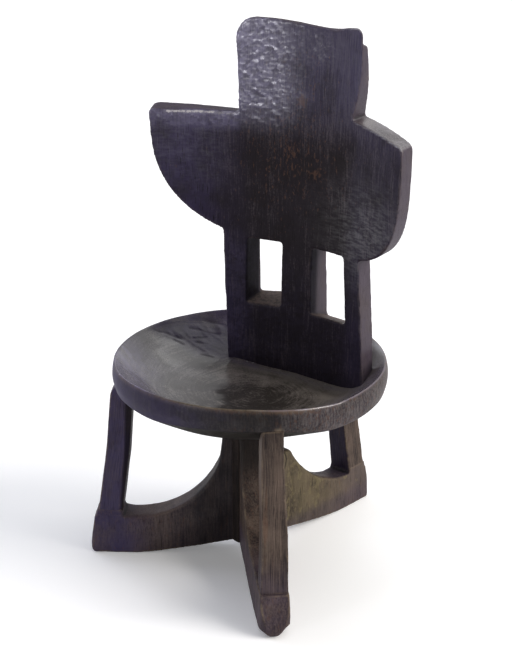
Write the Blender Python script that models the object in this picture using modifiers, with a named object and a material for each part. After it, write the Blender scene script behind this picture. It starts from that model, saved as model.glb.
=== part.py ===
"""Low three-legged chair with a round dished seat and a carved half-moon back board.

Units are metres and +Z is up. The sitter faces -Y. The chair is laid out around the
axis of the post under its seat, and the finished chair is then moved so that the
middle of its box stands on the origin.
"""
import math

import bmesh
import bpy
from mathutils import Matrix, Vector

# Fits
CLEARANCE = 0.0003            # gap left where one member seats in another

# Seat: a round bowl with a swelling rim
SEAT_HEIGHT = 0.324           # floor to the top of the rim
SEAT_RADIUS = 0.2125          # top edge of the rim, along the seat's longer way
SEAT_OVAL = 0.967             # shorter way across the seat as a share of the longer way
SEAT_OVAL_TURN = 33.0         # direction of the shorter way, in degrees from +X
SEAT_SHIFT = -0.007           # middle of the seat from the post's axis, along the shorter way
SEAT_EDGE_ROUND = 0.0045      # rounding of that edge
SEAT_DISH_DEPTH = 0.061       # top of the rim down to the bottom of the dish
SEAT_DISH_POWER = 4.0         # how flat the dish stays before it climbs to the rim
SEAT_RIM_DEPTH = 0.040        # height of the rim's outer wall
SEAT_RIM_SWELL = 0.005        # how far the wall swells past a straight line
SEAT_RIM_LOW_RADIUS = 0.211   # bottom edge of the wall
SEAT_MIDDLE_THICKNESS = 0.026
SEAT_UNDERSIDE_POWER = 2.6
SEAT_SEGMENTS = 72

# Back board: plan and side view
BOARD_OFFSET_X = 0.0125       # middle of the board from the post's axis
BOARD_INSET = 0.114           # face of the board inside the rim's top edge, at rim height
BOARD_LEAN = 0.03             # backward lean for each unit of height
BOARD_BEND_RADIUS = 0.375     # hollow of the face in plan
BOARD_HOUSING = 0.011         # how deep the foot is let into the dish
FOOT_MIDDLE_THICKNESS = 0.062
FOOT_SIDE_THICKNESS = 0.034
PANEL_MIDDLE_THICKNESS = 0.058
PANEL_SIDE_THICKNESS = 0.036
NECK_MIDDLE_THICKNESS = 0.043
NECK_SIDE_THICKNESS = 0.036
MOON_MIDDLE_THICKNESS = 0.050
MOON_SIDE_THICKNESS = 0.030
HEAD_BASE_MIDDLE_THICKNESS = 0.047
HEAD_BASE_SIDE_THICKNESS = 0.030
HEAD_WAIST_THICKNESS = 0.026
HEAD_TOP_THICKNESS = 0.007

# Back board: front view, widths from its own middle and heights above the rim
FOOT_LEFT = 0.117
FOOT_RIGHT = 0.133
FOOT_LEVEL = -0.039           # where the foot's widths are taken
NECK_LEFT = 0.126
NECK_RIGHT = 0.114
WINDOW_SILL = 0.046
WINDOW_HEIGHT = 0.104
LEFT_WINDOW_WIDTH = 0.058
RIGHT_WINDOW_WIDTH = 0.060
MULLION_WIDTH = 0.053
MULLION_SHIFT = -0.0035       # middle of the mullion from the board's middle
WINDOW_CORNER = 0.003
RIGHT_WINDOW_SPLAY = 0.008    # how much wider the right window is at its sill
MOON_LEFT = 0.226
MOON_RIGHT = 0.199
MOON_DEPTH = 0.203            # bottom of the half-moon below the left wing's top
MOON_LEFT_FULLNESS = 2.65     # 2 is a plain ellipse, more is squarer
MOON_RIGHT_FULLNESS = 3.8
MOON_TIP_ROUND = 0.010
MOON_TIP_DROP = 0.020         # the wing's side stands upright this far below its tip
WING_TOP_LEFT = 0.347
WING_TOP_RIGHT_TIP = 0.339
WING_TOP_RIGHT_ROOT = 0.357
HEAD_LEFT_ROOT = 0.105
HEAD_LEFT_TOP = 0.113
HEAD_RIGHT_ROOT = 0.090
HEAD_RIGHT_FLARE = 0.017      # how far the right side swells above its root
HEAD_FLARE_HEIGHT = 0.090
HEAD_TOP_LEFT = 0.489
HEAD_TOP_RIGHT = 0.491
HEAD_SADDLE = 0.0075          # dip of the top edge between its corners
HEAD_SADDLE_SKEW = 0.55       # 1 puts the dip half way, less moves it to the right
HEAD_LEFT_ROUND = 0.030
HEAD_RIGHT_ROUND = 0.012
SADDLE_MARGIN = 0.008         # level stretch between each rounded corner and the dip

# Legs: turn of each leg about the post's axis, from straight ahead towards +X
LEG_TURNS = {"front_right": 39.9, "front_left": -60.4, "rear": 171.1}

# Legs: middle of each strut from the post's axis, at the foot
LEG_SPREADS = {"front_right": 0.230, "front_left": 0.2265, "rear": 0.230}

# Legs: how far each strut leans sideways, at the rim, towards the leg's left as it points out
STRUT_TOP_SHIFTS = {"front_right": 0.007, "front_left": 0.0, "rear": 0.002}

# Legs: tip of each toe from the post's axis, on the floor
TOE_REACHES = {"front_right": 0.279, "front_left": 0.259, "rear": 0.269}

# Legs: fullness of each bracket's curve, 2 is a plain ellipse, more is squarer
BRACKET_FULLNESS = {"front_right": 2.3, "front_left": 2.3, "rear": 1.85}

# Legs: each bracket stops this far below the seat's underside
BRACKET_LIPS = {"front_right": 0.045, "front_left": 0.045, "rear": 0.083}

# Legs: width of each runner at the post, and of its foot at the top
RUNNER_WIDTHS = {"front_right": 0.054, "front_left": 0.046, "rear": 0.036}
FOOT_WIDTHS = {"front_right": 0.0425, "front_left": 0.0440, "rear": 0.0410}

# Legs: how far each side of a foot spreads on its way down to the floor
FOOT_SPREADS = {"front_right": 0.002, "front_left": 0.011, "rear": 0.001}

# Runner: curved bracket from the post down to a foot
FOOT_HEIGHT = 0.0585
FOOT_STEP = 0.0045            # how far the top of the foot stands out past the strut
TOE_ROUND = 0.010             # rounding under the toe
FOOT_INNER_RADIUS = 0.206     # where the foot has its full width
SPREAD_LEVEL = 0.075          # the sides of the foot stand upright above this height
ARCH_REACH = 0.200            # the runner lies flat on the floor beyond this radius
ARCH_RISE = 0.031             # rise of the underside at the post's axis
ARCH_POWER = 1.5
BRACKET_SETBACK = 0.001       # the bracket's curve runs out this far inside the strut
BRACKET_ROUND = 0.006         # rounding of the bracket's upper corner

# Strut: leaning upright between foot and rim
STRUT_INSET = 0.017           # middle of the strut's top inside the rim's bottom edge
STRUT_FOOT_DEPTH = 0.0376
STRUT_FOOT_WIDTH = 0.0400
STRUT_TOP_DEPTH = 0.0340
STRUT_TOP_WIDTH = 0.0310
STRUT_TENON_SIZE = 0.017      # square stub at each end
STRUT_TENON_LENGTH = 0.012

# Centre post
POST_RADIUS = 0.0415
POST_FLARE_RADIUS = 0.064
POST_FLARE_EDGE = 0.003
POST_FLARE_HEIGHT = 0.042
POST_TENON_RADIUS = 0.030
POST_TENON_LENGTH = 0.010
POST_BOTTOM = 0.024
POST_SEGMENTS = 48
TONGUE_DEPTH = 0.012          # how far each runner is let into the post

# Fineness of the round stretches
CORNER_STEPS = 5
CURVE_STEPS = 14
DISH_STEPS = 12
WALL_STEPS = 7
BOARD_COLUMNS = 18

# How far a cutter runs past the faces it cuts
OVERRUN = 0.010

# Points closer than this are one point
WELD_DISTANCE = 0.00001

# Colour, roughness of each member, as the worn wood shows them
WOOD_FINISHES = {
    "seat": ((0.058, 0.048, 0.046), 0.42),
    "back_board": ((0.030, 0.024, 0.026), 0.45),
    "centre_post": ((0.032, 0.025, 0.022), 0.62),
    "runner": ((0.072, 0.056, 0.044), 0.58),
    "strut": ((0.064, 0.047, 0.038), 0.55),
}

# Derived levels and distances
RIM_LOW = SEAT_HEIGHT - SEAT_RIM_DEPTH
DISH_BOTTOM = SEAT_HEIGHT - SEAT_DISH_DEPTH
UNDERSIDE_MIDDLE = DISH_BOTTOM - SEAT_MIDDLE_THICKNESS
BOARD_TOP = SEAT_HEIGHT + max(HEAD_TOP_LEFT, HEAD_TOP_RIGHT)
BOARD_OFFSET_Y = SEAT_RADIUS - BOARD_INSET
STRUT_TOP_RADIUS = SEAT_RIM_LOW_RADIUS - STRUT_INSET


def dish_height(radius):
    """Height of the dish at a distance from the seat's axis."""
    share = radius / (SEAT_RADIUS - SEAT_EDGE_ROUND)
    return DISH_BOTTOM + SEAT_DISH_DEPTH * share ** SEAT_DISH_POWER


def underside_height(radius):
    """Height of the seat's underside at a distance from its axis."""
    share = radius / SEAT_RIM_LOW_RADIUS
    return UNDERSIDE_MIDDLE + (RIM_LOW - UNDERSIDE_MIDDLE) * share ** SEAT_UNDERSIDE_POWER


def spread(start, end, steps):
    """Evenly spaced values from start to end, both included."""
    return [start * (1.0 - i / steps) + end * (i / steps) for i in range(steps + 1)]


def rounded(corners):
    """Closed outline whose corners (x, y, radius) are replaced by short arcs."""
    outline = []
    for i, (x, y, radius) in enumerate(corners):
        here = Vector((x, y))
        if radius <= 0.0:
            outline.append(here)
            continue
        before = (Vector(corners[i - 1][:2]) - here).normalized()
        after = (Vector(corners[(i + 1) % len(corners)][:2]) - here).normalized()
        half = before.angle(after) / 2.0
        start = here + before * radius / math.tan(half)
        end = here + after * radius / math.tan(half)
        centre = here + (before + after).normalized() * radius / math.sin(half)
        sweep = (end - centre).angle_signed(start - centre)
        for turn in spread(0.0, sweep, CORNER_STEPS):
            outline.append(centre + Matrix.Rotation(turn, 2) @ (start - centre))
    return outline


def superellipse(angle, reach, depth, fullness):
    """Point of a quarter curve that is squarer than an ellipse where fullness is over 2."""
    across = reach * math.cos(angle) ** (2.0 / fullness)
    down = depth * math.sin(angle) ** (2.0 / fullness)
    return across, down


# Building blocks
def new_object(name, mesh, collection, root):
    """Object for a mesh, in its collection and carried by the chair's root."""
    item = bpy.data.objects.new(name, mesh)
    collection.objects.link(item)
    item.parent = root
    if collection.name == "cutters":
        item.hide_render = True
        item.display_type = "WIRE"
    return item


def outline_mesh(name, loops, half_depth):
    """Flat outline with a thickness, standing in the XZ plane."""
    curve = bpy.data.curves.new(name, "CURVE")
    curve.dimensions = "2D"
    curve.fill_mode = "BOTH"
    curve.extrude = half_depth
    for loop in loops:
        spline = curve.splines.new("POLY")
        spline.points.add(len(loop) - 1)
        for point, place in zip(spline.points, loop):
            point.co = (place[0], place[1], 0.0, 1.0)
        spline.use_cyclic_u = True
    guide = bpy.data.objects.new(name + "_outline", curve)
    bpy.context.scene.collection.objects.link(guide)
    graph = bpy.context.evaluated_depsgraph_get()
    mesh = bpy.data.meshes.new_from_object(guide.evaluated_get(graph))
    bpy.data.objects.remove(guide)
    mesh.name = name
    mesh.transform(Matrix.Rotation(math.pi / 2.0, 4, "X"))
    return welded(mesh)


def welded(mesh):
    """Joins loose caps to their walls and turns every face outwards."""
    shape = bmesh.new()
    shape.from_mesh(mesh)
    bmesh.ops.remove_doubles(shape, verts=shape.verts, dist=WELD_DISTANCE)
    bmesh.ops.recalc_face_normals(shape, faces=shape.faces)
    shape.to_mesh(mesh)
    shape.free()
    return mesh


def turned(name, profile, segments, collection, root):
    """Solid of revolution about Z from a profile of (radius, height), top to bottom."""
    mesh = bpy.data.meshes.new(name)
    places = [(radius, 0.0, height) for radius, height in profile]
    edges = [(i, i + 1) for i in range(len(profile) - 1)]
    mesh.from_pydata(places, edges, [])
    item = new_object(name, mesh, collection, root)
    screw = item.modifiers.new("turn", "SCREW")
    screw.steps = segments
    screw.render_steps = segments
    screw.use_merge_vertices = True
    screw.merge_threshold = WELD_DISTANCE
    screw.use_smooth_shade = False
    return item


def loft(name, rings):
    """Closed skin through rings of equally many points, with flat ends."""
    shape = bmesh.new()
    layers = [[shape.verts.new(place) for place in ring] for ring in rings]
    count = len(rings[0])
    for low, high in zip(layers, layers[1:]):
        for i in range(count):
            j = (i + 1) % count
            shape.faces.new((low[i], low[j], high[j], high[i]))
    bmesh.ops.triangulate(shape, faces=shape.faces, quad_method="FIXED")
    shape.faces.new(layers[0])
    shape.faces.new(layers[-1])
    bmesh.ops.recalc_face_normals(shape, faces=shape.faces)
    mesh = bpy.data.meshes.new(name)
    shape.to_mesh(mesh)
    shape.free()
    return mesh


def rectangle(middle, aside, depth, width, height):
    """Level ring of four points around a place on the leg's own X and Y axes."""
    signs = ((-1, -1), (1, -1), (1, 1), (-1, 1))
    return [(middle + a * depth / 2.0, aside + b * width / 2.0, height) for a, b in signs]


def combine(target, tool, operation):
    """Adds a Boolean step to a member."""
    step = target.modifiers.new(operation.lower(), "BOOLEAN")
    step.operation = operation
    step.solver = "EXACT"
    step.object = tool


def finish(item, finish_name):
    """Gives a member its own wood material."""
    colour, roughness = WOOD_FINISHES[finish_name]
    wood = bpy.data.materials.new(item.name + "_wood")
    wood.use_nodes = True
    shader = wood.node_tree.nodes["Principled BSDF"]
    shader.inputs["Base Color"].default_value = (*colour, 1.0)
    shader.inputs["Roughness"].default_value = roughness
    shader.inputs["Metallic"].default_value = 0.0
    item.data.materials.append(wood)


# Seat
def place_with_seat(item):
    """Gives a turned shape the seat's slightly oval plan and its place over the post."""
    turn = math.radians(SEAT_OVAL_TURN)
    item.scale.x = SEAT_OVAL
    item.rotation_euler.z = turn
    item.location = (SEAT_SHIFT * math.cos(turn), SEAT_SHIFT * math.sin(turn), 0.0)
    return item


def seat_profile():
    """Half section of the seat: dish, rounded rim, swelling wall and underside."""
    inner = SEAT_RADIUS - SEAT_EDGE_ROUND
    profile = [(r, dish_height(r)) for r in spread(0.0, inner, DISH_STEPS)]
    tilt = math.atan(math.pi * SEAT_RIM_SWELL / SEAT_RIM_DEPTH)
    for turn in spread(math.pi / 2.0, tilt, CORNER_STEPS)[1:]:
        radius = inner + SEAT_EDGE_ROUND * math.cos(turn)
        height = SEAT_HEIGHT - SEAT_EDGE_ROUND + SEAT_EDGE_ROUND * math.sin(turn)
        profile.append((radius, height))
    wall_radius, wall_top = profile[-1]
    for share in spread(0.0, 1.0, WALL_STEPS)[1:]:
        straight = wall_radius + (SEAT_RIM_LOW_RADIUS - wall_radius) * share
        radius = straight + SEAT_RIM_SWELL * math.sin(math.pi * share)
        profile.append((radius, wall_top + (RIM_LOW - wall_top) * share))
    for radius in spread(SEAT_RIM_LOW_RADIUS, 0.0, DISH_STEPS)[1:]:
        profile.append((radius, underside_height(radius)))
    return profile


def dish_bed(name, drop, cutters, root):
    """Everything below the dish when the dish is lowered by a drop."""
    inner = SEAT_RADIUS - SEAT_EDGE_ROUND
    profile = [(r, dish_height(r) - drop) for r in spread(0.0, inner, DISH_STEPS)]
    profile.append((inner, 0.0))
    profile.append((0.0, 0.0))
    return place_with_seat(turned(name, profile, SEAT_SEGMENTS, cutters, root))


def underside_cap(cutters, root):
    """Everything above the seat's underside, lowered by the clearance."""
    outside = SEAT_RIM_LOW_RADIUS + STRUT_TOP_DEPTH
    profile = [(0.0, BOARD_TOP), (outside, BOARD_TOP), (outside, RIM_LOW - CLEARANCE)]
    for radius in spread(SEAT_RIM_LOW_RADIUS, 0.0, DISH_STEPS):
        profile.append((radius, underside_height(radius) - CLEARANCE))
    return place_with_seat(turned("underside_cap", profile, SEAT_SEGMENTS, cutters, root))


# Back board
def board_face(x, height):
    """Depth of the board's hollow face at a width from its middle and a height."""
    lean = BOARD_LEAN * (height - SEAT_HEIGHT)
    bend = BOARD_BEND_RADIUS - math.sqrt(BOARD_BEND_RADIUS ** 2 - x * x)
    return BOARD_OFFSET_Y + lean - bend


def moon_angle(width, reach, fullness):
    """Place on a wing's lower edge, as an angle, at a width from the board's middle."""
    return math.acos((width / reach) ** (fullness / 2.0))


def moon_level(width, reach, fullness):
    """Height of a wing's lower edge above the rim, at a width from the board's middle."""
    down = superellipse(moon_angle(width, reach, fullness), reach, MOON_DEPTH, fullness)[1]
    return WING_TOP_LEFT - down


def board_slab(name, grow, collection, root):
    """Bent slab that gives the board its hollow face, its rounded back and its taper."""
    panel = SEAT_HEIGHT + WINDOW_SILL / 2.0
    neck = SEAT_HEIGHT + moon_level(NECK_LEFT, MOON_LEFT, MOON_LEFT_FULLNESS)
    moon = SEAT_HEIGHT + WING_TOP_LEFT - MOON_DEPTH / 2.0
    head_base = SEAT_HEIGHT + (WING_TOP_RIGHT_TIP + WING_TOP_RIGHT_ROOT) / 2.0
    waist = SEAT_HEIGHT + (WING_TOP_LEFT + HEAD_TOP_LEFT) / 2.0
    foot_half = (FOOT_LEFT + FOOT_RIGHT) / 2.0
    neck_half = (NECK_LEFT + NECK_RIGHT) / 2.0
    moon_half = max(MOON_LEFT, MOON_RIGHT)
    head_half = HEAD_LEFT_TOP
    low = UNDERSIDE_MIDDLE
    stations = (
        (low, FOOT_MIDDLE_THICKNESS, FOOT_SIDE_THICKNESS, foot_half),
        (SEAT_HEIGHT + FOOT_LEVEL, FOOT_MIDDLE_THICKNESS, FOOT_SIDE_THICKNESS, foot_half),
        (panel, PANEL_MIDDLE_THICKNESS, PANEL_SIDE_THICKNESS, foot_half),
        (neck, NECK_MIDDLE_THICKNESS, NECK_SIDE_THICKNESS, neck_half),
        (moon, MOON_MIDDLE_THICKNESS, MOON_SIDE_THICKNESS, moon_half),
        (head_base, HEAD_BASE_MIDDLE_THICKNESS, HEAD_BASE_SIDE_THICKNESS, moon_half),
        (waist, HEAD_WAIST_THICKNESS, HEAD_WAIST_THICKNESS, head_half),
        (BOARD_TOP + OVERRUN, HEAD_TOP_THICKNESS, HEAD_TOP_THICKNESS, head_half),
    )
    reach = moon_half + OVERRUN
    columns = spread(-reach, reach, BOARD_COLUMNS)
    rings = []
    for height, middle, side, half in stations:
        ring = [(x, board_face(x, height) - grow, height) for x in columns]
        for x in reversed(columns):
            share = min(abs(x) / half, 1.0)
            thickness = middle + (side - middle) * share ** 2
            ring.append((x, board_face(x, height) + thickness + grow, height))
        rings.append(ring)
    slab = new_object(name, loft(name, rings), collection, root)
    slab.location.x = BOARD_OFFSET_X
    return slab


def panel_side(side, height):
    """Half width of the lower panel, whose sides run straight from foot to neck."""
    foot, neck, reach, fullness = {
        "left": (FOOT_LEFT, NECK_LEFT, MOON_LEFT, MOON_LEFT_FULLNESS),
        "right": (FOOT_RIGHT, NECK_RIGHT, MOON_RIGHT, MOON_RIGHT_FULLNESS),
    }[side]
    top = moon_level(neck, reach, fullness)
    return foot + (neck - foot) * (height - FOOT_LEVEL) / (top - FOOT_LEVEL)


def moon_side(reach, fullness, neck, tip_level):
    """Lower edge of one wing, from the neck out and up to below the wing's tip."""
    first = moon_angle(neck, reach, fullness)
    below_tip = WING_TOP_LEFT - tip_level + MOON_TIP_DROP
    last = math.asin((below_tip / MOON_DEPTH) ** (fullness / 2.0))
    points = []
    for angle in spread(first, last, CURVE_STEPS):
        across, down = superellipse(angle, reach, MOON_DEPTH, fullness)
        points.append((across, WING_TOP_LEFT - down))
    return points


def board_outline():
    """Front view of the board as corners (x, height, radius), heights above the rim."""
    low = UNDERSIDE_MIDDLE + OVERRUN - SEAT_HEIGHT
    corners = [(panel_side("right", low), low, 0.0)]
    right = moon_side(MOON_RIGHT, MOON_RIGHT_FULLNESS, NECK_RIGHT, WING_TOP_RIGHT_TIP)
    corners += [(x, z, 0.0) for x, z in right]
    corners.append((right[-1][0], WING_TOP_RIGHT_TIP, MOON_TIP_ROUND))
    for share in spread(0.0, 1.0, CORNER_STEPS):
        x = HEAD_RIGHT_ROOT + HEAD_RIGHT_FLARE * math.sin(share * math.pi / 2.0)
        corners.append((x, WING_TOP_RIGHT_ROOT + HEAD_FLARE_HEIGHT * share, 0.0))
    right_top = HEAD_RIGHT_ROOT + HEAD_RIGHT_FLARE
    corners.append((right_top, HEAD_TOP_RIGHT, HEAD_RIGHT_ROUND))
    saddle_start = right_top - HEAD_RIGHT_ROUND - SADDLE_MARGIN
    saddle_end = HEAD_LEFT_ROUND + SADDLE_MARGIN - HEAD_LEFT_TOP
    for share in spread(0.0, 1.0, CURVE_STEPS)[1:-1]:
        x = saddle_start + (saddle_end - saddle_start) * share
        level = HEAD_TOP_RIGHT + (HEAD_TOP_LEFT - HEAD_TOP_RIGHT) * share
        dip = HEAD_SADDLE * math.sin(math.pi * share ** HEAD_SADDLE_SKEW) ** 2
        corners.append((x, level - dip, 0.0))
    corners.append((-HEAD_LEFT_TOP, HEAD_TOP_LEFT, HEAD_LEFT_ROUND))
    corners.append((-HEAD_LEFT_ROOT, WING_TOP_LEFT, 0.0))
    left = moon_side(MOON_LEFT, MOON_LEFT_FULLNESS, NECK_LEFT, WING_TOP_LEFT)
    corners.append((-left[-1][0], WING_TOP_LEFT, MOON_TIP_ROUND))
    corners += [(-x, z, 0.0) for x, z in reversed(left)]
    corners.append((-panel_side("left", low), low, 0.0))
    return corners


def window_outlines():
    """The two windows as corners (x, height, radius), heights above the rim."""
    top = WINDOW_SILL + WINDOW_HEIGHT
    left_edge = MULLION_SHIFT - MULLION_WIDTH / 2.0
    right_edge = MULLION_SHIFT + MULLION_WIDTH / 2.0
    left = [
        (left_edge - LEFT_WINDOW_WIDTH, WINDOW_SILL, WINDOW_CORNER),
        (left_edge, WINDOW_SILL, WINDOW_CORNER),
        (left_edge, top, WINDOW_CORNER),
        (left_edge - LEFT_WINDOW_WIDTH, top, WINDOW_CORNER),
    ]
    right = [
        (right_edge, WINDOW_SILL, WINDOW_CORNER),
        (right_edge + RIGHT_WINDOW_WIDTH + RIGHT_WINDOW_SPLAY, WINDOW_SILL, WINDOW_CORNER),
        (right_edge + RIGHT_WINDOW_WIDTH, top, WINDOW_CORNER),
        (right_edge, top, WINDOW_CORNER),
    ]
    return left, right


def pocket_outline():
    """Front view of the pocket for the foot: its width and a clearance, open at the top."""
    low = UNDERSIDE_MIDDLE + OVERRUN / 2.0 - SEAT_HEIGHT
    high = OVERRUN
    right_low = panel_side("right", low) + CLEARANCE
    right_high = panel_side("right", high) + CLEARANCE
    left_low = panel_side("left", low) + CLEARANCE
    left_high = panel_side("left", high) + CLEARANCE
    return [(right_low, low), (right_high, high), (-left_high, high), (-left_low, low)]


def board_panel(name, loops, collection, root):
    """Flat panel that is thick enough to hold the bent slab."""
    half_depth = BOARD_OFFSET_Y + SEAT_RADIUS
    panel = new_object(name, outline_mesh(name, loops, half_depth), collection, root)
    panel.location = (BOARD_OFFSET_X, 0.0, SEAT_HEIGHT)
    return panel


def make_board(parts, cutters, root):
    """The back board, its foot shaped to the bed of its pocket."""
    loops = [rounded(board_outline())]
    loops += [rounded(window) for window in window_outlines()]
    board = board_panel("back_board", loops, parts, root)
    combine(board, board_slab("board_slab", 0.0, cutters, root), "INTERSECT")
    bed = dish_bed("board_bed", BOARD_HOUSING - CLEARANCE, cutters, root)
    combine(board, bed, "DIFFERENCE")
    finish(board, "back_board")
    return board


def board_pocket(cutters, root):
    """Cutter for the pocket that the board's foot stands in."""
    pocket = board_panel("board_pocket", [pocket_outline()], cutters, root)
    combine(pocket, board_slab("pocket_slab", CLEARANCE, cutters, root), "INTERSECT")
    combine(pocket, dish_bed("pocket_bed", BOARD_HOUSING, cutters, root), "DIFFERENCE")
    return pocket


# Legs
def strut_share(height):
    """How far up the strut a height is, from the top of the foot to the bottom of the rim."""
    return (height - FOOT_HEIGHT) / (RIM_LOW - FOOT_HEIGHT)


def strut_middle(leg, height):
    """Distance of the strut's middle from the post's axis at a height."""
    return LEG_SPREADS[leg] + (STRUT_TOP_RADIUS - LEG_SPREADS[leg]) * strut_share(height)


def strut_aside(leg, height):
    """Distance of the strut's middle from the leg's own line at a height."""
    return STRUT_TOP_SHIFTS[leg] * strut_share(height)


def strut_section(leg, height):
    """Level ring of the strut at a height, from its straight taper."""
    share = strut_share(height)
    depth = STRUT_FOOT_DEPTH + (STRUT_TOP_DEPTH - STRUT_FOOT_DEPTH) * share
    width = STRUT_FOOT_WIDTH + (STRUT_TOP_WIDTH - STRUT_FOOT_WIDTH) * share
    return rectangle(strut_middle(leg, height), strut_aside(leg, height), depth, width, height)


def strut_stub(leg, name, levels, grow, cutters, root):
    """Square stub along the strut's own line, or with a growth the cutter for its pocket."""
    size = STRUT_TENON_SIZE + 2.0 * grow
    rings = []
    for level in levels:
        rings.append(rectangle(strut_middle(leg, level), strut_aside(leg, level), size, size, level))
    stub = new_object(leg + name, loft(leg + name, rings), cutters, root)
    stub.rotation_euler.z = leg_turn(leg)
    return stub


def leg_turn(leg):
    """Turn about Z that points a leg's own X axis outwards along the leg."""
    return math.radians(LEG_TURNS[leg]) - math.pi / 2.0


def upper_stub_levels(grow):
    """Heights between which the upper stub or its pocket runs."""
    shoulder = underside_height(STRUT_TOP_RADIUS)
    return shoulder - 2.0 * STRUT_TENON_LENGTH, shoulder + STRUT_TENON_LENGTH + grow


def lower_stub_levels(grow):
    """Heights between which the lower stub or its pocket runs."""
    return FOOT_HEIGHT - STRUT_TENON_LENGTH - grow, FOOT_HEIGHT + STRUT_TENON_LENGTH


def make_strut(leg, cap, parts, cutters, root):
    """Leaning upright with a stub at each end, its top shaped to the seat's underside."""
    rings = [strut_section(leg, FOOT_HEIGHT + CLEARANCE), strut_section(leg, SEAT_HEIGHT)]
    strut = new_object(leg + "_strut", loft(leg + "_strut", rings), parts, root)
    strut.rotation_euler.z = leg_turn(leg)
    combine(strut, cap, "DIFFERENCE")
    lower = strut_stub(leg, "_lower_stub", lower_stub_levels(0.0), 0.0, cutters, root)
    combine(strut, lower, "UNION")
    upper = strut_stub(leg, "_upper_stub", upper_stub_levels(0.0), 0.0, cutters, root)
    combine(strut, upper, "UNION")
    finish(strut, "strut")
    return strut


def upper_mortise(leg, cutters, root):
    """Cutter for the seat's pocket that takes the strut's upper stub."""
    levels = upper_stub_levels(CLEARANCE)
    return strut_stub(leg, "_upper_mortise", levels, CLEARANCE, cutters, root)


def runner_underside(radius):
    """Height of the runner's underside: flat at the foot, arched towards the post."""
    return ARCH_RISE * max(0.0, 1.0 - radius / ARCH_REACH) ** ARCH_POWER


def foot_top_reach(leg):
    """Outer edge of the top of the foot, a step outside the strut that stands on it."""
    return LEG_SPREADS[leg] + STRUT_FOOT_DEPTH / 2.0 + FOOT_STEP


def bracket_top(leg):
    """Height of a bracket's upper end, where it enters the post."""
    return UNDERSIDE_MIDDLE - BRACKET_LIPS[leg]


def runner_side(leg):
    """Side view of a runner as corners (radius, height, rounding)."""
    inner = POST_RADIUS - TONGUE_DEPTH
    corners = [(r, runner_underside(r), 0.0) for r in spread(inner, ARCH_REACH, CURVE_STEPS)]
    corners.append((TOE_REACHES[leg], 0.0, TOE_ROUND))
    corners.append((foot_top_reach(leg), FOOT_HEIGHT, 0.0))
    fullness = BRACKET_FULLNESS[leg]
    end = LEG_SPREADS[leg] - STRUT_FOOT_DEPTH / 2.0 - BRACKET_SETBACK
    depth = UNDERSIDE_MIDDLE - FOOT_HEIGHT
    last = math.asin((BRACKET_LIPS[leg] / depth) ** (fullness / 2.0))
    for angle in spread(math.pi / 2.0, last, CURVE_STEPS):
        across, down = superellipse(angle, end - POST_RADIUS, depth, fullness)
        rounding = BRACKET_ROUND if angle == last else 0.0
        corners.append((end - across, UNDERSIDE_MIDDLE - down, rounding))
    corners.append((inner, bracket_top(leg), 0.0))
    return corners


def runner_plan(leg, level):
    """Ring around a runner at a level: even from the post to the foot, with a rounded toe."""
    inner = POST_RADIUS - TONGUE_DEPTH
    half = RUNNER_WIDTHS[leg] / 2.0
    lowered = 1.0 - min(level, SPREAD_LEVEL) / SPREAD_LEVEL
    foot_half = FOOT_WIDTHS[leg] / 2.0 + FOOT_SPREADS[leg] * lowered
    top_reach = foot_top_reach(leg)
    nose = TOE_REACHES[leg] - top_reach
    plan = [(inner, -half), (POST_RADIUS, -half), (FOOT_INNER_RADIUS, -foot_half)]
    for angle in spread(-math.pi / 2.0, math.pi / 2.0, CURVE_STEPS):
        plan.append((top_reach + nose * math.cos(angle), foot_half * math.sin(angle)))
    plan += [(FOOT_INNER_RADIUS, foot_half), (POST_RADIUS, half), (inner, half)]
    return [(x, y, level) for x, y in plan]


def make_runner(leg, parts, cutters, root):
    """Curved bracket and foot, with a pocket for the strut's lower stub."""
    name = leg + "_runner"
    side = outline_mesh(name, [rounded(runner_side(leg))], SEAT_RADIUS)
    runner = new_object(name, side, parts, root)
    runner.rotation_euler.z = leg_turn(leg)
    rings = [runner_plan(leg, level) for level in (-OVERRUN, SPREAD_LEVEL, SEAT_HEIGHT)]
    plan_cutter = new_object(name + "_plan", loft(name + "_plan", rings), cutters, root)
    plan_cutter.rotation_euler.z = leg_turn(leg)
    combine(runner, plan_cutter, "INTERSECT")
    levels = lower_stub_levels(CLEARANCE)
    mortise = strut_stub(leg, "_lower_mortise", levels, CLEARANCE, cutters, root)
    combine(runner, mortise, "DIFFERENCE")
    finish(runner, "runner")
    return runner


def tongue_slot(leg, cutters, root):
    """Cutter for the post's slot, open at the bottom, that takes a runner's inner end."""
    inner = POST_RADIUS - TONGUE_DEPTH - CLEARANCE
    outer = POST_RADIUS + OVERRUN
    middle = (inner + outer) / 2.0
    width = RUNNER_WIDTHS[leg] + 2.0 * CLEARANCE
    heights = (POST_BOTTOM - OVERRUN, bracket_top(leg) + CLEARANCE)
    rings = [rectangle(middle, 0.0, outer - inner, width, height) for height in heights]
    slot = new_object(leg + "_slot", loft(leg + "_slot", rings), cutters, root)
    slot.rotation_euler.z = leg_turn(leg)
    return slot


# Centre post
def post_profile():
    """Half section of the post: plain shaft and flared head, which runs up past the underside."""
    top = SEAT_HEIGHT
    flare_low = UNDERSIDE_MIDDLE - POST_FLARE_EDGE - POST_FLARE_HEIGHT
    profile = [(0.0, top), (POST_FLARE_RADIUS, top)]
    for angle in spread(math.pi / 2.0, 0.0, WALL_STEPS):
        radius = POST_FLARE_RADIUS - (POST_FLARE_RADIUS - POST_RADIUS) * math.cos(angle)
        profile.append((radius, flare_low + POST_FLARE_HEIGHT * math.sin(angle)))
    profile += [(POST_RADIUS, POST_BOTTOM), (0.0, POST_BOTTOM)]
    return profile


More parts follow.
